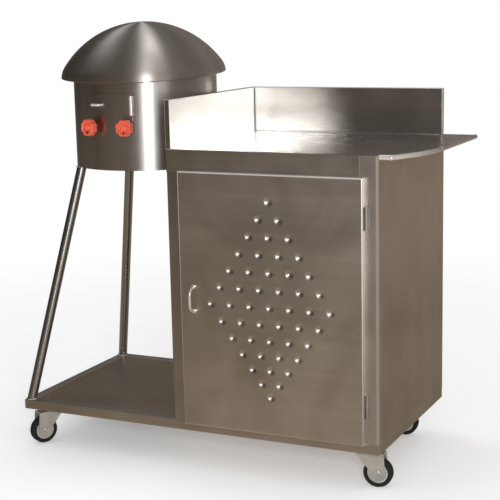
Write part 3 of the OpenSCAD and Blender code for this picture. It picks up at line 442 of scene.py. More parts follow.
def finished(name, shape, body, slot, material, *replaced, tree=None, flat_over=math.inf, **inputs):
    """Turns a bmesh into a smooth-shaded piece that rides on a body and stands for CAD nodes."""
    mesh = bpy.data.meshes.new(name)
    shape.to_mesh(mesh)
    shape.free()
    if "custom_normal" in mesh.attributes:
        mesh.attributes.remove(mesh.attributes["custom_normal"])
    mesh.shade_smooth()
    mesh.set_sharp_from_angle(angle=SMOOTH_ANGLE)
    for face in mesh.polygons:
        if face.area > flat_over:
            for i in face.loop_indices:
                mesh.edges[mesh.loops[i].edge_index].use_edge_sharp = True
    mesh.materials.clear()
    mesh.materials.append(material)
    piece = added(name, mesh)
    if tree:
        tree.apply(piece, Material=material, **inputs)
    level_normals(piece)
    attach(piece, body)
    if replaced:
        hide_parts(*replaced)


def merged_copy(node):
    """A copy of a CAD node's mesh with its triangles joined into flat faces."""
    shape = bmesh.new()
    shape.from_mesh(nodes[node].data)
    shape.faces.layers.float.new("edge")
    bmesh.ops.remove_doubles(shape, verts=shape.verts, dist=MERGE)
    bmesh.ops.dissolve_limit(shape, angle_limit=FLAT_ANGLE, verts=shape.verts,
                             edges=shape.edges)
    return shape


def mark_edges(shape, faces, amount=1.0):
    """Marks faces for a painted highlight, or as dull (rougher) if the amount is below zero."""
    layer = shape.faces.layers.float["edge"]
    for face in faces:
        face[layer] = amount


def outer_edges(shape, low, high):
    """Edges that lie on two faces of a node's box."""
    found = []
    for edge in shape.edges:
        touched = 0
        for axis in range(3):
            for face in (low[axis], high[axis]):
                touched += all(abs(v.co[axis] - face) < TOUCH for v in edge.verts)
        if touched >= 2:
            found.append(edge)
    return found


def sharp_edges(shape):
    """Edges where a shape turns sharply."""
    return [e for e in shape.edges if e.is_manifold and e.calc_face_angle(0) > SHARP_ANGLE]


def softened(node, body, slot, material, radius, edges="outer", bright=0.0):
    """A CAD node with its edges rounded; the rounded faces get a painted highlight of the given
    strength.
    """
    shape = merged_copy(node)
    chosen = outer_edges(shape, *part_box(node)) if edges == "outer" else sharp_edges(shape)
    rounded = bmesh.ops.bevel(shape, geom=chosen, offset=radius, offset_type="OFFSET",
                              segments=EDGE_STEPS, profile=0.5, affect="EDGES", clamp_overlap=True)
    mark_edges(shape, rounded["faces"], bright)
    finished(node + "_rounded", shape, body, slot, material, node)


def grain_map(shape):
    """The UV layer that spun grain follows."""
    layers = shape.loops.layers.uv
    return layers.get("grain") or layers.new("grain")


def face_outwards(shape):
    """Turns all faces of a shape outwards."""
    bmesh.ops.recalc_face_normals(shape, faces=shape.faces)


def lathe(shape, profile, place, segments, closed=False, flutes=0):
    """Turns a profile of radius, height and flute depth round an axis that place lays along +Z.
    Writes UVs that follow the grain: U round the axis, V along the profile."""
    uv = grain_map(shape)
    turns = [2 * math.pi * i / segments for i in range(segments)]
    rings = []
    for radius, height, *cut in profile:
        if radius < MERGE:
            rings.append([shape.verts.new(place @ Vector((0, 0, height)))])
            continue
        ring = []
        for t in turns:
            r = radius - (cut[0] * ((1 + math.cos(flutes * t)) / 2) ** 2 if cut else 0)
            ring.append(shape.verts.new(place @ Vector((r * math.cos(t), r * math.sin(t), height))))
        rings.append(ring)
    lengths = [0.0]
    for a, b in zip(profile, profile[1:]):
        lengths.append(lengths[-1] + math.hypot(b[0] - a[0], b[1] - a[1]))
    pairs = list(zip(range(len(rings)), range(1, len(rings))))
    if closed:
        pairs.append((len(rings) - 1, 0))
    for a, b in pairs:
        for i in range(segments):
            j = (i + 1) % segments
            corners = []
            for ring, k, u in ((a, i, i), (a, j, i + 1), (b, j, i + 1), (b, i, i)):
                vert = rings[ring][k if len(rings[ring]) > 1 else 0]
                if vert not in [c[0] for c in corners]:
                    corners.append((vert, u / segments, lengths[ring]))
            face = shape.faces.new([c[0] for c in corners])
            for loop, (_, u, v) in zip(face.loops, corners):
                loop[uv].uv = (u, v)
    return shape


def arc(centre, radius, start, end, steps):
    """Points of radius and height on an arc, angles in degrees."""
    turns = [math.radians(start + (end - start) * i / steps) for i in range(steps + 1)]
    return [(centre[0] + radius * math.cos(t), centre[1] + radius * math.sin(t)) for t in turns]


def sweep(shape, path, radius, sides):
    """Round rod along a path, with capped ends."""
    uv = grain_map(shape)
    rings = []
    side = None
    for k, point in enumerate(path):
        ahead = (path[min(k + 1, len(path) - 1)] - path[max(k - 1, 0)]).normalized()
        if side is None:
            side = ahead.orthogonal().normalized()
        side = (side - ahead * side.dot(ahead)).normalized()
        other = ahead.cross(side)
        ring = []
        for i in range(sides):
            t = 2 * math.pi * i / sides
            out = radius * (math.cos(t) * side + math.sin(t) * other)
            ring.append(shape.verts.new(point + out))
        rings.append(ring)
    for k in range(len(rings) - 1):
        for i in range(sides):
            j = (i + 1) % sides
            face = shape.faces.new((rings[k][i], rings[k][j], rings[k + 1][j], rings[k + 1][i]))
            for loop, place in zip(face.loops, ((i, k), (i + 1, k), (i + 1, k + 1), (i, k + 1))):
                loop[uv].uv = (place[0] / sides, place[1])
    shape.faces.new(list(reversed(rings[0])))
    shape.faces.new(rings[-1])
    return shape


# Geometry node trees

class Tree:
    """A geometry node tree with named inputs."""

    def __init__(self, name, **inputs):
        self.group = bpy.data.node_groups.new(name, "GeometryNodeTree")
        face = self.group.interface
        face.new_socket("Geometry", in_out="INPUT", socket_type="NodeSocketGeometry")
        self.sockets = {}
        for key, kind in inputs.items():
            self.sockets[key] = face.new_socket(key, in_out="INPUT", socket_type=kind).identifier
        face.new_socket("Geometry", in_out="OUTPUT", socket_type="NodeSocketGeometry")
        self.inputs = self.add("NodeGroupInput")
        self.outputs = self.add("NodeGroupOutput")

    def add(self, kind, **settings):
        node = self.group.nodes.new(kind)
        for key, value in settings.items():
            setattr(node, key, value)
        return node

    def link(self, source, target):
        self.group.links.new(source, target)

    def math(self, operation, a, b=None):
        node = self.add("ShaderNodeMath", operation=operation)
        for socket, value in zip(node.inputs, (a, b)):
            if isinstance(value, (int, float)):
                socket.default_value = value
            elif value is not None:
                self.link(value, socket)
        return node.outputs[0]

    def finish(self, geometry):
        """Ends the tree in real geometry with its material."""
        real = self.add("GeometryNodeRealizeInstances")
        painted = self.add("GeometryNodeSetMaterial")
        self.link(geometry, real.inputs["Geometry"])
        self.link(real.outputs["Geometry"], painted.inputs["Geometry"])
        self.link(self.inputs.outputs["Material"], painted.inputs["Material"])
        self.link(painted.outputs["Geometry"], self.outputs.inputs["Geometry"])

    def apply(self, piece, **values):
        """Runs the tree on a piece and leaves a plain mesh."""
        modifier = piece.modifiers.new(self.group.name, "NODES")
        modifier.node_group = self.group
        for key, value in values.items():
            modifier[self.sockets[key]] = value
        baked(piece, modifier)


def dimple_tree():
    """Presses a diamond of round dimples into a panel that faces -Y."""
    tree = Tree("pressed_dimples", Row="NodeSocketInt", Pitch="NodeSocketFloat",
                Rise="NodeSocketFloat", Taper="NodeSocketFloat", Diameter="NodeSocketFloat",
                Depth="NodeSocketFloat", Centre="NodeSocketVector", Material="NodeSocketMaterial")
    ins = tree.inputs.outputs
    grid = tree.add("GeometryNodeMeshGrid")
    span = tree.math("SUBTRACT", ins["Row"], 1)
    for key in ("Size X", "Size Y"):
        tree.link(span, grid.inputs[key])
    for key in ("Vertices X", "Vertices Y"):
        tree.link(ins["Row"], grid.inputs[key])
    where = tree.add("ShaderNodeSeparateXYZ")
    tree.link(tree.add("GeometryNodeInputPosition").outputs[0], where.inputs[0])
    row = tree.math("ADD", where.outputs["X"], where.outputs["Y"])
    below = tree.math("MINIMUM", row, 0.0)
    draw = tree.math("ADD", 1.0, tree.math("MULTIPLY", below, ins["Taper"]))
    aside = tree.math("SUBTRACT", where.outputs["X"], where.outputs["Y"])
    step = tree.math("MULTIPLY", aside, 0.5)
    across = tree.math("MULTIPLY", tree.math("MULTIPLY", step, ins["Pitch"]), draw)
    upward = tree.math("MULTIPLY", tree.math("MULTIPLY", row, ins["Rise"]), draw)
    turned = tree.add("ShaderNodeCombineXYZ")
    tree.link(across, turned.inputs["X"])
    tree.link(upward, turned.inputs["Z"])
    placed = tree.add("ShaderNodeVectorMath", operation="ADD")
    tree.link(turned.outputs[0], placed.inputs[0])
    tree.link(ins["Centre"], placed.inputs[1])
    diamond = tree.add("GeometryNodeSetPosition")
    tree.link(grid.outputs["Mesh"], diamond.inputs["Geometry"])
    tree.link(placed.outputs[0], diamond.inputs["Position"])
    near = tree.add("GeometryNodeProximity", target_element="POINTS")
    tree.link(diamond.outputs["Geometry"], near.inputs["Geometry"])
    radius = tree.math("MULTIPLY", ins["Diameter"], 0.5)
    reach = tree.math("DIVIDE", near.outputs["Distance"], radius)
    share = tree.math("MINIMUM", tree.math("MULTIPLY", reach, reach), 1.0)
    inside = tree.math("SUBTRACT", 1.0, share)
    depth = tree.math("MULTIPLY", tree.math("MULTIPLY", inside, inside), ins["Depth"])
    offset = tree.add("ShaderNodeCombineXYZ")
    tree.link(depth, offset.inputs["Y"])
    pressed = tree.add("GeometryNodeSetPosition")
    tree.link(ins["Geometry"], pressed.inputs["Geometry"])
    tree.link(offset.outputs[0], pressed.inputs["Offset"])
    tree.finish(pressed.outputs["Geometry"])
    return tree


# Pieces

def stations(low, high, radius, cell):
    """Places along one side of the door: fine round its rounded edges, even between them."""
    bend = [low + radius * (1 - math.cos(math.pi / 2 * i / 4)) for i in range(5)]
    count = max(2, round((high - low - 2 * radius) / cell))
    middle = [low + radius + (high - low - 2 * radius) * i / count for i in range(1, count)]
    return bend + middle + [low + high - x for x in reversed(bend)]


def edge_drop(place, low, high, radius):
    """How far the door's rounded edge falls back at a place."""
    inset = min(place - low, high - place)
    short = max(0.0, radius - inset)
    return radius - math.sqrt(max(0.0, radius * radius - short * short))


def make_door():
    """Door skin with pressed dimples, its rounded edges given a painted highlight that grows
    brighter towards the top.
    """
    low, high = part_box("door_skin")
    xs = stations(low.x, high.x, DOOR_EDGE, DOOR_CELL)
    zs = stations(low.z, high.z, DOOR_EDGE, DOOR_CELL)
    shape = bmesh.new()
    shape.faces.layers.float.new("edge")
    rows = []
    for z in zs:
        row = []
        for x in xs:
            drop = max(edge_drop(x, low.x, high.x, DOOR_EDGE),
                       edge_drop(z, low.z, high.z, DOOR_EDGE))
            row.append(shape.verts.new((x, low.y + drop, z)))
        rows.append(row)
    for lower, upper in zip(rows, rows[1:]):
        for i in range(len(xs) - 1):
            shape.faces.new((lower[i], lower[i + 1], upper[i + 1], upper[i]))
    rim = rows[0] + [r[-1] for r in rows[1:]] + rows[-1][-2::-1] + [r[0] for r in rows[-2:0:-1]]
    skirt = [shape.verts.new((v.co.x, high.y, v.co.z)) for v in rim]
    middle = (low + high) / 2
    inner = []
    for v in rim:
        inside = Vector((v.co.x, high.y, v.co.z))
        for axis in (0, 2):
            limit = (high - low)[axis] / 2 - DOOR_SHEET
            inside[axis] = middle[axis] + max(-limit, min(limit, inside[axis] - middle[axis]))
        inner.append(shape.verts.new(inside))
    for i in range(len(rim)):
        j = (i + 1) % len(rim)
        shape.faces.new((rim[j], rim[i], skirt[i], skirt[j]))
        shape.faces.new((skirt[j], skirt[i], inner[i], inner[j]))
    shape.faces.new(inner)
    # Rounded edge faces get a painted highlight, brighter towards the top where the light falls
    # from above.
    for face in shape.faces:
        depths = [v.co.y for v in face.verts]
        if low.y + TOUCH < max(depths) and min(depths) < high.y - TOUCH:
            rise = (face.calc_center_median().z - low.z) / (high.z - low.z)
            mark_edges(shape, [face], DOOR_HIGHLIGHT_LOW + (1 - DOOR_HIGHLIGHT_LOW) * rise)
    face_outwards(shape)
    finished("door_front", shape, "door", "brushed_stainless", door_sheet, "door_skin",
             tree=dimple_tree(), Row=DIMPLE_ROW, Pitch=DIMPLE_PITCH, Rise=DIMPLE_RISE,
             Taper=DIMPLE_TAPER, Diameter=DIMPLE_D, Depth=DIMPLE_DEPTH,
             Centre=(middle.x + DIMPLE_RIGHT, low.y, middle.z + DIMPLE_UP))


def make_griddle():
    """Spun plate: a cap of a ball, its rim turned down, its edge rounded, leaning to the front."""
    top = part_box("griddle_dome")[1].z
    slope = math.radians(GRIDDLE_SLOPE)
    across = GRIDDLE_R - GRIDDLE_BEND * math.sin(slope)
    rise = GRIDDLE_H - GRIDDLE_BEND * (1 - math.cos(slope))
    turn = 2 * math.atan(rise / across)
    ball = GRIDDLE_BEND + across / math.sin(turn)
    bend = ((ball - GRIDDLE_BEND) * math.sin(turn), (ball - GRIDDLE_BEND) * math.cos(turn))
    half = GRIDDLE_PLATE / 2
    edge = (bend[0] + (GRIDDLE_BEND - half) * math.sin(slope),
            bend[1] + (GRIDDLE_BEND - half) * math.cos(slope))
    start, end = 90 - math.degrees(turn), 90 - GRIDDLE_SLOPE
    profile = (arc((0, 0), ball, 90, start, 48) + arc(bend, GRIDDLE_BEND, start, end, 12)[1:]
               + arc(edge, half, end, end - 180, 8)[1:-1]
               + arc(bend, GRIDDLE_BEND - GRIDDLE_PLATE, end, start, 12)
               + arc((0, 0), ball - GRIDDLE_PLATE, start, 90, 40)[1:])
    lean = Matrix.Rotation(math.radians(GRIDDLE_LEAN), 4, "X")
    place = Matrix.Translation((drum_axis.x, drum_axis.y, top - ball)) @ lean
    shape = lathe(bmesh.new(), profile, place, GRIDDLE_SEGMENTS)
    face_outwards(shape)
    finished("griddle_plate", shape, "griddle", "polished_stainless", dome_steel, "griddle_dome")


def wrap_grain(shape, axis):
    """Writes UVs that run round an upright axis."""
    uv = grain_map(shape)
    for face in shape.faces:
        first = None
        for loop in face.loops:
            out = loop.vert.co - axis
            turn = math.atan2(out.y, out.x) / (2 * math.pi)
            first = turn if first is None else first
            loop[uv].uv = (turn + round(first - turn), out.z)


def make_drum():
    """Rolled drum wall, its ignition hatch and the hatch's hinge, with grain round the drum and a
    painted highlight on the hinge barrel.
    """
    pin = centre_of("hatch_hinge_pin")
    for node, body in (("drum_shell", "frame"), ("hatch", "ignition_hatch"),
                       ("hatch_hinge_leaf", "frame")):
        shape = merged_copy(node)
        wrap_grain(shape, drum_axis)
        # The hinge barrel's faces get a painted highlight.
        barrel = [f for f in shape.faces if (f.calc_center_median() - pin).xy.length < BARREL_R]
        mark_edges(shape, barrel)
        finished(node + "_rolled", shape, body, "polished_stainless", drum_steel, node)


def make_leg(node, lean):
    """Slanted tube cut level at both ends, rising towards +Y or -Y. Returns its two end rings."""
    low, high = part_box(node)
    rise, radius = high.z - low.z, LEG_D / 2
    half = [radius * math.hypot(1, (high[a] - low[a] - LEG_D) / rise) for a in (0, 1)]
    front, back = low.y + half[1], high.y - half[1]
    foot = Vector((low.x + half[0], front if lean > 0 else back, low.z))
    head = Vector((high.x - half[0], back if lean > 0 else front, high.z))
    axis = (head - foot).normalized()
    side = axis.orthogonal().normalized()
    other = axis.cross(side)
    shape = bmesh.new()
    uv = grain_map(shape)
    rings = []
    for end in (foot, head):
        ring = []
        for i in range(LEG_SIDES):
            t = 2 * math.pi * i / LEG_SIDES
            out = radius * (math.cos(t) * side + math.sin(t) * other)
            ring.append(shape.verts.new(end + out - axis * (out.z / axis.z)))
        rings.append(ring)
    for i in range(LEG_SIDES):
        j = (i + 1) % LEG_SIDES
        face = shape.faces.new((rings[0][i], rings[0][j], rings[1][j], rings[1][i]))
        for loop, spot in zip(face.loops, ((i, 0), (i + 1, 0), (i + 1, rise), (i, rise))):
            loop[uv].uv = (spot[0] / LEG_SIDES, spot[1])
    shape.faces.new(list(reversed(rings[0])))
    shape.faces.new(rings[1])
    ends = [[v.co.copy() for v in ring] for ring in rings]
    finished(node + "_tube", shape, "frame", "polished_steel", leg_steel, node)
    return ends


def bead_tree():
    """A weld bead: small round beads, each sized a little differently, on every point."""
    tree = Tree("weld_beads", Size="NodeSocketFloat", Material="NodeSocketMaterial")
    ins = tree.inputs.outputs
    ball = tree.add("GeometryNodeMeshUVSphere")
    ball.inputs["Segments"].default_value = 10
    ball.inputs["Rings"].default_value = 6
    tree.link(tree.math("MULTIPLY", ins["Size"], 0.5), ball.inputs["Radius"])
    size = tree.add("FunctionNodeRandomValue", data_type="FLOAT")
    size.inputs["Min"].default_value = WELD_LEAST
    size.inputs["Max"].default_value = WELD_MOST
    points = tree.add("GeometryNodeInstanceOnPoints")
    tree.link(ins["Geometry"], points.inputs["Points"])
    tree.link(ball.outputs["Mesh"], points.inputs["Instance"])
    tree.link(size.outputs[1], points.inputs["Scale"])
    tree.finish(points.outputs["Instances"])
    return tree


def make_legs():
    """The two legs and the weld beads round their feet and heads."""
    shape = bmesh.new()
    for node, lean in (("front_leg", 1), ("rear_leg", -1)):
        for ring, up in zip(make_leg(node, lean), (1, -1)):
            around = sum(ring, Vector()) / len(ring)
            for i in range(WELD_COUNT):
                at = i * len(ring) / WELD_COUNT
                k, part = int(at), at - int(at)
                spot = ring[k].lerp(ring[(k + 1) % len(ring)], part)
                out = (spot - around).normalized() * WELD_OUT
                shape.verts.new(spot + out + Vector((0, 0, up * WELD_OUT)))
    finished("leg_weld_beads", shape, "frame", "polished_steel", zinc, tree=bead_tree(),
             Size=WELD_BEAD)


def make_handle():
    """Bow handle of bent rod on two small round feet."""
    low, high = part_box("door_handle")
    out, along = Vector((0, -1, 0)), Vector((0, 0, 1))
    base = Vector(((low.x + high.x) / 2, high.y, (low.z + high.z) / 2))
    half = (high.z - low.z - HANDLE_FOOT_D) / 2
    reach = high.y - low.y - HANDLE_ROD / 2 - HANDLE_BEND
    path = [base - along * half]
    for end, turns in ((-1, (180, 90)), (1, (90, 0))):
        centre = base + out * reach + along * end * (half - HANDLE_BEND)
        path += [centre + along * a + out * b for a, b in arc((0, 0), HANDLE_BEND, *turns, 12)]
    path.append(base + along * half)
    shape = sweep(bmesh.new(), path, HANDLE_ROD / 2, HANDLE_SIDES)
    foot = HANDLE_FOOT_D / 2
    round_off = HANDLE_FOOT_T / 3
    bend = arc((foot - round_off, HANDLE_FOOT_T - round_off), round_off, 0, 90, 4)
    profile = [(0, 0), (foot, 0)] + bend + [(0, HANDLE_FOOT_T)]
    outward = Matrix.Rotation(math.radians(90), 4, "X")
    for end in (-1, 1):
        place = Matrix.Translation(base + along * end * half) @ outward
        lathe(shape, profile, place, HANDLE_FOOT_SEGMENTS)
    face_outwards(shape)
    finished("bow_handle", shape, "door", "polished_steel", handle_rod, "door_handle")


def make_knob(side, turn):
    """Fluted gas knob with a dished face, a hub and a pointer rib."""
    node = side + "_knob"
    place = (Matrix.Translation((drum_axis.x, drum_axis.y, 0))
             @ Matrix.Rotation(math.radians(turn), 4, "Z")
             @ Matrix.Translation((0, -KNOB_ROOT, centre_of(node).z))
             @ Matrix.Rotation(math.radians(90), 4, "X"))
    r, h, flute = KNOB_D / 2, KNOB_H, KNOB_FLUTE
    skirt = [(0, 0, 0), (r - 0.003, 0, flute), (r - 0.0008, 0.0008, flute), (r, 0.003, flute)]
    shoulder = [(r - 0.0006, h - 0.004, flute), (r - 0.0016, h - 0.0016, flute * 0.8),
                (r - 0.0038, h, flute * 0.4)]
    dish = [(r - 0.0070, h - 0.0003, 0), (r - 0.0085, h - 0.0020, 0), (r - 0.0100, h - 0.0055, 0)]
    hub = [(0.0102, h - 0.0060, 0), (0.0092, h - 0.0050, 0), (0.0088, h - 0.0015, 0),
           (0.0078, h - 0.0004, 0), (0.0060, h, 0), (0, h, 0)]
    profile = skirt + shoulder + dish + hub
    shape = lathe(bmesh.new(), profile, place, KNOB_SEGMENTS, flutes=KNOB_FLUTES)
    face_outwards(shape)
    rib = bmesh.new()
    bmesh.ops.create_cube(rib, size=1)
    width, length, depth = POINTER_SIZE
    for v in rib.verts:
        v.co = Vector((v.co.x * width, v.co.y * length - POINTER_OUT,
                       h - POINTER_SUNK + v.co.z * depth))
    bmesh.ops.bevel(rib, geom=rib.edges[:], offset=POINTER_EDGE, segments=EDGE_STEPS, profile=0.5,
                    affect="EDGES")
    bmesh.ops.transform(rib, matrix=place, verts=rib.verts)
    body = side + "_gas_knob"
    finished(side + "_knob_cap", shape, body, "red_knob", red_plastic, node)
    finished(side + "_knob_pointer", rib, body, "red_knob", pointer_plastic)


def make_wheel(corner):
    """Caster wheel: dished hub with a raised boss, and a rounded tyre."""
    roll = next(j for j in frame["joints"] if j["name"] == corner + "_roll")
    centre = centre_of(corner + "_tyre")
    turn = Vector(roll["axis"]).to_track_quat("Z", "Y").to_matrix().to_4x4()
    place = Matrix.Translation(centre) @ turn
    body = corner + "_wheel"
    half, edge = TYRE_W / 2, TYRE_EDGE
    tread = centre.z
    low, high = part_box(corner + "_hub")
    hub = (high.z - low.z) / 2
    crown = arc((tread - edge, half - edge), edge, 90, 0, 6)
    tyre = [(hub, half - 0.001), (hub + 0.0015, half)] + crown + [(tread + TYRE_CROWN, 0)]
    profile = tyre + [(r, -z) for r, z in reversed(tyre[:-1])]
    shape = lathe(bmesh.new(), profile, place, TYRE_SEGMENTS, closed=True)
    face_outwards(shape)
    finished(corner + "_tread", shape, body, "tyre_black", tyre_rubber, corner + "_tyre")
    boss = [(AXLE_R, half + 0.0020), (0.0080, half + 0.0020), (0.0090, half + 0.0010)]
    dish = [(0.0095, half - 0.0045), (hub - 0.0060, half - 0.0045), (hub - 0.0045, half - 0.0035)]
    rim = [(hub - 0.0040, half - 0.0015), (hub - 0.0010, half - 0.0008), (hub, half - 0.0016)]
    face = boss + dish + rim
    profile = face + [(r, -z) for r, z in reversed(face)]
    shape = lathe(bmesh.new(), profile, place, HUB_SEGMENTS, closed=True)
    face_outwards(shape)
    finished(corner + "_wheel_centre", shape, body, "hub_grey", hub_plastic, corner + "_hub")
    softened(corner + "_fork", corner + "_swivel_fork", "zinc_plate", fork_zinc, PLATE_EDGE,
             "sharp")


def make_coves(level):
    """Bends between the worktop and the rear splash and between the two splashes."""
    left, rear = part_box("left_splash"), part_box("rear_splash")
    corner = Vector((left[1].x, rear[0].y, level))
    right, front, up = Vector((1, 0, 0)), Vector((0, -1, 0)), Vector((0, 0, 1))
    for name, r, a, b, run in (
            ("rear_splash_bend", REAR_COVE, front, up, right * (rear[1].x - corner.x)),
            ("corner_bend", CORNER_COVE, right, front, up * (left[1].z - level))):
        profile = ([(-COVE_SUNK, -COVE_SUNK), (r, -COVE_SUNK)] + arc((r, r), r, 270, 180, 8)
                   + [(-COVE_SUNK, r)])
        shape = bmesh.new()
        ends = []
        for start in (corner, corner + run):
            ends.append([shape.verts.new(start + a * p + b * q) for p, q in profile])
        for i, vert in enumerate(ends[0]):
            j = (i + 1) % len(profile)
            shape.faces.new((vert, ends[0][j], ends[1][j], ends[1][i]))
        for end in ends:
            shape.faces.new(end)
        face_outwards(shape)
        finished(name, shape, "frame", "polished_stainless", splash_sheet)


def make_post(node, material):
    """Corner post whose folds stay dull."""
    shape = merged_copy(node)
    folds = [f for f in shape.faces if max(abs(c) for c in f.normal) < LEVEL]
    mark_edges(shape, folds, DULL)
    finished(node + "_folded", shape, "frame", "brushed_stainless", material, node)


def make_worktop():
    """Worktop with a painted highlight on its leaf's edge, brighter towards the front, and the
    splashes' bends.
    """
    leaf_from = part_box("right_corner_post")[1].x + LEAF_INSET
    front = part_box("worktop")[0].y
    shape = merged_copy("worktop")
    for face in shape.faces:
        spot = face.calc_center_median()
        if spot.x > leaf_from and abs(face.normal.z) < LEVEL:
            leaf_highlight = 1 - (spot.y - front) / LEAF_HIGHLIGHT_DEPTH
            mark_edges(shape, [face], max(LEAF_HIGHLIGHT_LEAST, leaf_highlight))
    flat = max((f for f in shape.faces if f.normal.z > LEVEL), key=lambda f: f.calc_area())
    make_coves(flat.calc_center_median().z)
    finished("worktop_smooth", shape, "frame", "brushed_stainless", top_sheet, "worktop",
             flat_over=FLAT_AREA)


make_door()
make_griddle()
make_drum()
make_legs()
make_handle()
for side, turn in (("left", -KNOB_ANGLE), ("right", KNOB_ANGLE)):
    make_knob(side, turn)
for corner in CORNERS:
    make_wheel(corner)
for node in ("base_front_rail", "base_rear_rail"):
    softened(node, "frame", "brushed_stainless", rail_steel, TUBE_EDGE, bright=RAIL_HIGHLIGHT)
for node in ("base_left_rail", "base_right_rail", "base_cross_rail"):
    softened(node, "frame", "brushed_stainless", side_rail_steel, TUBE_EDGE, bright=RAIL_HIGHLIGHT)
for node in ("left_splash", "rear_splash"):
    softened(node, "frame", "polished_stainless", splash_sheet, SHEET_EDGE, bright=SPLASH_HIGHLIGHT)
softened("shelf_tray", "frame", "brushed_stainless", tray_sheet, SHEET_EDGE)
softened("front_apron", "frame", "brushed_stainless", apron_sheet, PLATE_EDGE)
make_post("left_corner_post", left_post_painted_shade)
make_post("right_corner_post", post_sheet)
for node, body, slot, material in (
        ("hatch_pull", "ignition_hatch", "polished_steel", painted_bright_pull),
        ("post_hinge_leaves", "frame", "polished_steel", hinge_steel),
        ("door_hinge_leaves", "door", "polished_steel", hinge_steel)):
    finished(node + "_smooth", merged_copy(node), body, slot, material, node)
make_worktop()

# Materials of the CAD nodes, bright rod for all others
CAD_FINISHES = {
    "door_inner_pan": side_sheet, "cabinet_floor": tray_sheet, "corner_gussets": rail_steel,
    "left_side_panel": side_sheet, "right_side_panel": side_sheet, "back_panel": side_sheet,
    "left_corner_post": left_post_painted_shade, "right_corner_post": post_sheet,
    "front_apron": apron_sheet, "shelf_tray": tray_sheet,
    "worktop": top_sheet, "worktop_stiffener": rail_steel,
    "left_splash": splash_sheet, "rear_splash": splash_sheet, "drum_base_ring": rail_steel,
    "drum_bracket": rail_steel, "base_front_rail": rail_steel, "base_rear_rail": rail_steel,
    "base_left_rail": side_rail_steel, "base_right_rail": side_rail_steel,
    "base_cross_rail": side_rail_steel,
    "gas_manifold": zinc, "valve_bodies": brass, "hose_nozzle": brass, "catch_magnet": magnet_black,
    "burner_outer_ring": cast_iron, "burner_inner_ring": cast_iron,
    "burner_support_bars": cast_iron,
    "hex_bolts": zinc, "caster_plates": zinc, "left_spindle": zinc, "right_spindle": zinc,
    "left_knob": red_plastic, "right_knob": red_plastic,
}
for corner in CORNERS:
    CAD_FINISHES[corner + "_fork"] = zinc
    CAD_FINISHES[corner + "_hub"] = hub_plastic
    CAD_FINISHES[corner + "_tyre"] = tyre_rubber
for name, node in nodes.items():
    node.data.materials.clear()
    node.data.materials.append(CAD_FINISHES.get(name, bright_rod))


# Studio

TENT_HALF = 7.0
TENT_HEIGHT = 4.5
TENT_MAT = 0.002
TENT_TONES = ((0.0, (0.31, 0.245, 0.18)), (0.01, (0.15, 0.125, 0.10)),
              (0.97, (0.15, 0.13, 0.115)), (1.0, (0.20, 0.185, 0.17)))
TENT_FADE = (3.0, 5.5)
SKYLIGHT_LOW = Vector((-3.6, 1.1))
SKYLIGHT_HIGH = Vector((-2.4, 2.3))
TENT_DARK = Vector((-0.966, -0.26, 0))
FLOOR_SIZE = 80
FLOOR_GREY = (0.93, 0.93, 0.93, 1)
FLOOR_LIFT = 0.26
FLOOR_FADE = (1.3, 3.2)
SKYLIGHT_COLOUR = (0.93, 0.97, 1.0)
WORLD_LIGHT = 0.6
WORLD_SEEN = 1.0


def make_floor():
    """Pale floor that keeps the shadow near the part and fades to white around it."""
    bpy.ops.mesh.primitive_plane_add(size=FLOOR_SIZE, location=(0, 0, 0))
    floor = bpy.context.object
    floor.name = "studio_floor"
    finish = Finish("studio_floor")
    place = finish.add("ShaderNodeTexCoord")
    away = finish.vector("LENGTH", place.outputs["Object"])
    fade = finish.between(away.outputs["Value"], 0.0, 1.0, *FLOOR_FADE)
    diffuse = finish.add("ShaderNodeBsdfDiffuse")
    diffuse.inputs["Color"].default_value = FLOOR_GREY
    glow = finish.add("ShaderNodeEmission")
    lift = finish.add("ShaderNodeEmission")
    lift.inputs["Strength"].default_value = FLOOR_LIFT
    near = finish.add("ShaderNodeAddShader")
    finish.link(diffuse.outputs[0], near.inputs[0])
    finish.link(lift.outputs[0], near.inputs[1])
    mix = finish.add("ShaderNodeMixShader")
    finish.link(fade, mix.inputs["Fac"])
    finish.link(near.outputs[0], mix.inputs[1])
    finish.link(glow.outputs[0], mix.inputs[2])
    finish.link(mix.outputs[0], finish.tree.nodes["Material Output"].inputs["Surface"])
    floor.data.materials.append(finish.material)


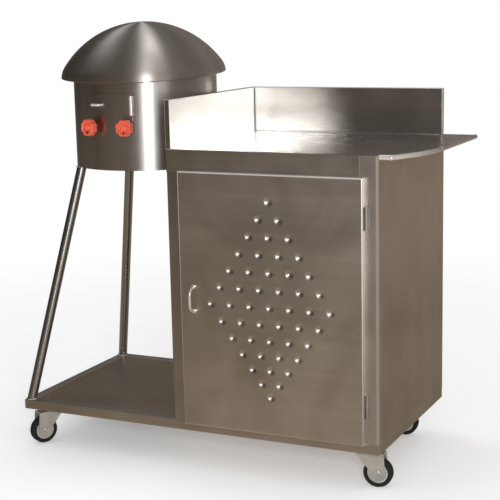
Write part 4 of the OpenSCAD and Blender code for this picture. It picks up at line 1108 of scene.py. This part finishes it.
def make_tent():
    """Warm reflection tent round the set: a mat, four walls and a ceiling with a skylight."""
    shape = bmesh.new()
    half, top, mat = TENT_HALF, TENT_HEIGHT, TENT_MAT
    corners = [(-half, -half), (half, -half), (half, half), (-half, half)]

    def panel(points):
        shape.faces.new([shape.verts.new(p) for p in points])

    panel([(x, y, mat) for x, y in corners])
    for (x0, y0), (x1, y1) in zip(corners, corners[1:] + corners[:1]):
        panel([(x0, y0, mat), (x1, y1, mat), (x1, y1, top), (x0, y0, top)])
    a, b = SKYLIGHT_LOW, SKYLIGHT_HIGH
    for x0, x1, y0, y1 in ((-half, half, -half, a.y), (-half, half, b.y, half),
                           (-half, a.x, a.y, b.y), (b.x, half, a.y, b.y)):
        panel([(x0, y0, top), (x0, y1, top), (x1, y1, top), (x1, y0, top)])
    mesh = bpy.data.meshes.new("reflection_tent")
    shape.to_mesh(mesh)
    shape.free()
    tent = added("reflection_tent", mesh)
    finish = Finish("tent_cloth")
    place = finish.add("ShaderNodeTexCoord")
    split = finish.add("ShaderNodeSeparateXYZ")
    finish.link(place.outputs["Object"], split.inputs[0])
    tone = finish.ramp(finish.between(split.outputs["Z"], 0, 1, 0, TENT_HEIGHT), *TENT_TONES)
    folds = finish.noise(finish.coordinates((0.9, 0.9, 0.05)), 1.0, 2)
    flat = finish.coordinates((1, 1, 0))
    away = finish.vector("LENGTH", flat)
    outward = finish.vector("NORMALIZE", flat)
    facing = finish.vector("DOT_PRODUCT", outward.outputs["Vector"])
    facing.inputs[1].default_value = TENT_DARK
    far = finish.add("ShaderNodeMix")
    far.inputs[2].default_value = 1.0
    finish.link(finish.between(away.outputs["Value"], 0.0, 1.0, *TENT_FADE), far.inputs[0])
    finish.link(finish.between(facing.outputs["Value"], 1.5, 0.30, -0.2, 0.8), far.inputs[3])
    glow = finish.add("ShaderNodeEmission")
    finish.link(tone, glow.inputs["Color"])
    folded = finish.product(finish.between(folds, 0.55, 1.45, *NOISE_SPAN), far.outputs[0])
    finish.link(folded, glow.inputs["Strength"])
    finish.link(glow.outputs[0], finish.tree.nodes["Material Output"].inputs["Surface"])
    mesh.materials.append(finish.material)
    tent.visible_camera = False
    tent.visible_diffuse = False
    tent.visible_shadow = False
    tent.visible_transmission = False


def softbox(name, place, aim, size, power, colour=(1, 1, 1)):
    """A rectangular lamp that faces a point."""
    data = bpy.data.lights.new(name, "AREA")
    data.shape = "RECTANGLE"
    data.size, data.size_y = size
    data.energy = power
    data.color = colour
    lamp = added(name, data)
    lamp.location = place
    lamp.rotation_euler = (Vector(aim) - Vector(place)).to_track_quat("-Z", "Y").to_euler()


def light_studio():
    """Lamps near the camera, above, at the side and low in front, and a white world."""
    right, up, _ = camera_axes()
    softbox("camera_softbox", CAMERA_PLACE + 0.17 * right + 0.18 * up, aim=(0, 0, 0.65),
            size=(0.55, 0.55), power=46)
    softbox("ceiling_softbox", (-0.2, 0.45, 4.3), aim=(-0.2, 0.45, 0), size=(0.8, 0.8), power=11)
    softbox("skylight_softbox", (-2.9, 1.77, 4.4), aim=centre_of("griddle_dome"),
            size=(0.9, 0.9), power=7, colour=SKYLIGHT_COLOUR)
    softbox("low_softbox", (2.0, -4.2, 0.25), aim=(0, 0, 0.95), size=(1.0, 0.4), power=8)
    softbox("side_softbox", (2.75, -2.15, 1.1), aim=(0, 0, 0.8), size=(1.4, 1.8), power=7)
    world = bpy.data.worlds.new("studio_world")
    bpy.context.scene.world = world
    world.use_nodes = True
    tree = world.node_tree
    background = tree.nodes["Background"]
    path = tree.nodes.new("ShaderNodeLightPath")
    seen = path.outputs["Is Camera Ray"]
    for ray in ("Is Glossy Ray", "Is Transmission Ray"):
        either = tree.nodes.new("ShaderNodeMath")
        either.operation = "MAXIMUM"
        tree.links.new(seen, either.inputs[0])
        tree.links.new(path.outputs[ray], either.inputs[1])
        seen = either.outputs[0]
    level = tree.nodes.new("ShaderNodeMapRange")
    level.inputs["To Min"].default_value = WORLD_LIGHT
    level.inputs["To Max"].default_value = WORLD_SEEN
    tree.links.new(seen, level.inputs["Value"])
    tree.links.new(level.outputs["Result"], background.inputs["Strength"])
    background.inputs["Color"].default_value = (1, 1, 1, 1)


place_camera()
make_floor()
make_tent()
light_studio()
bpy.context.scene.view_settings.view_transform = "Standard"
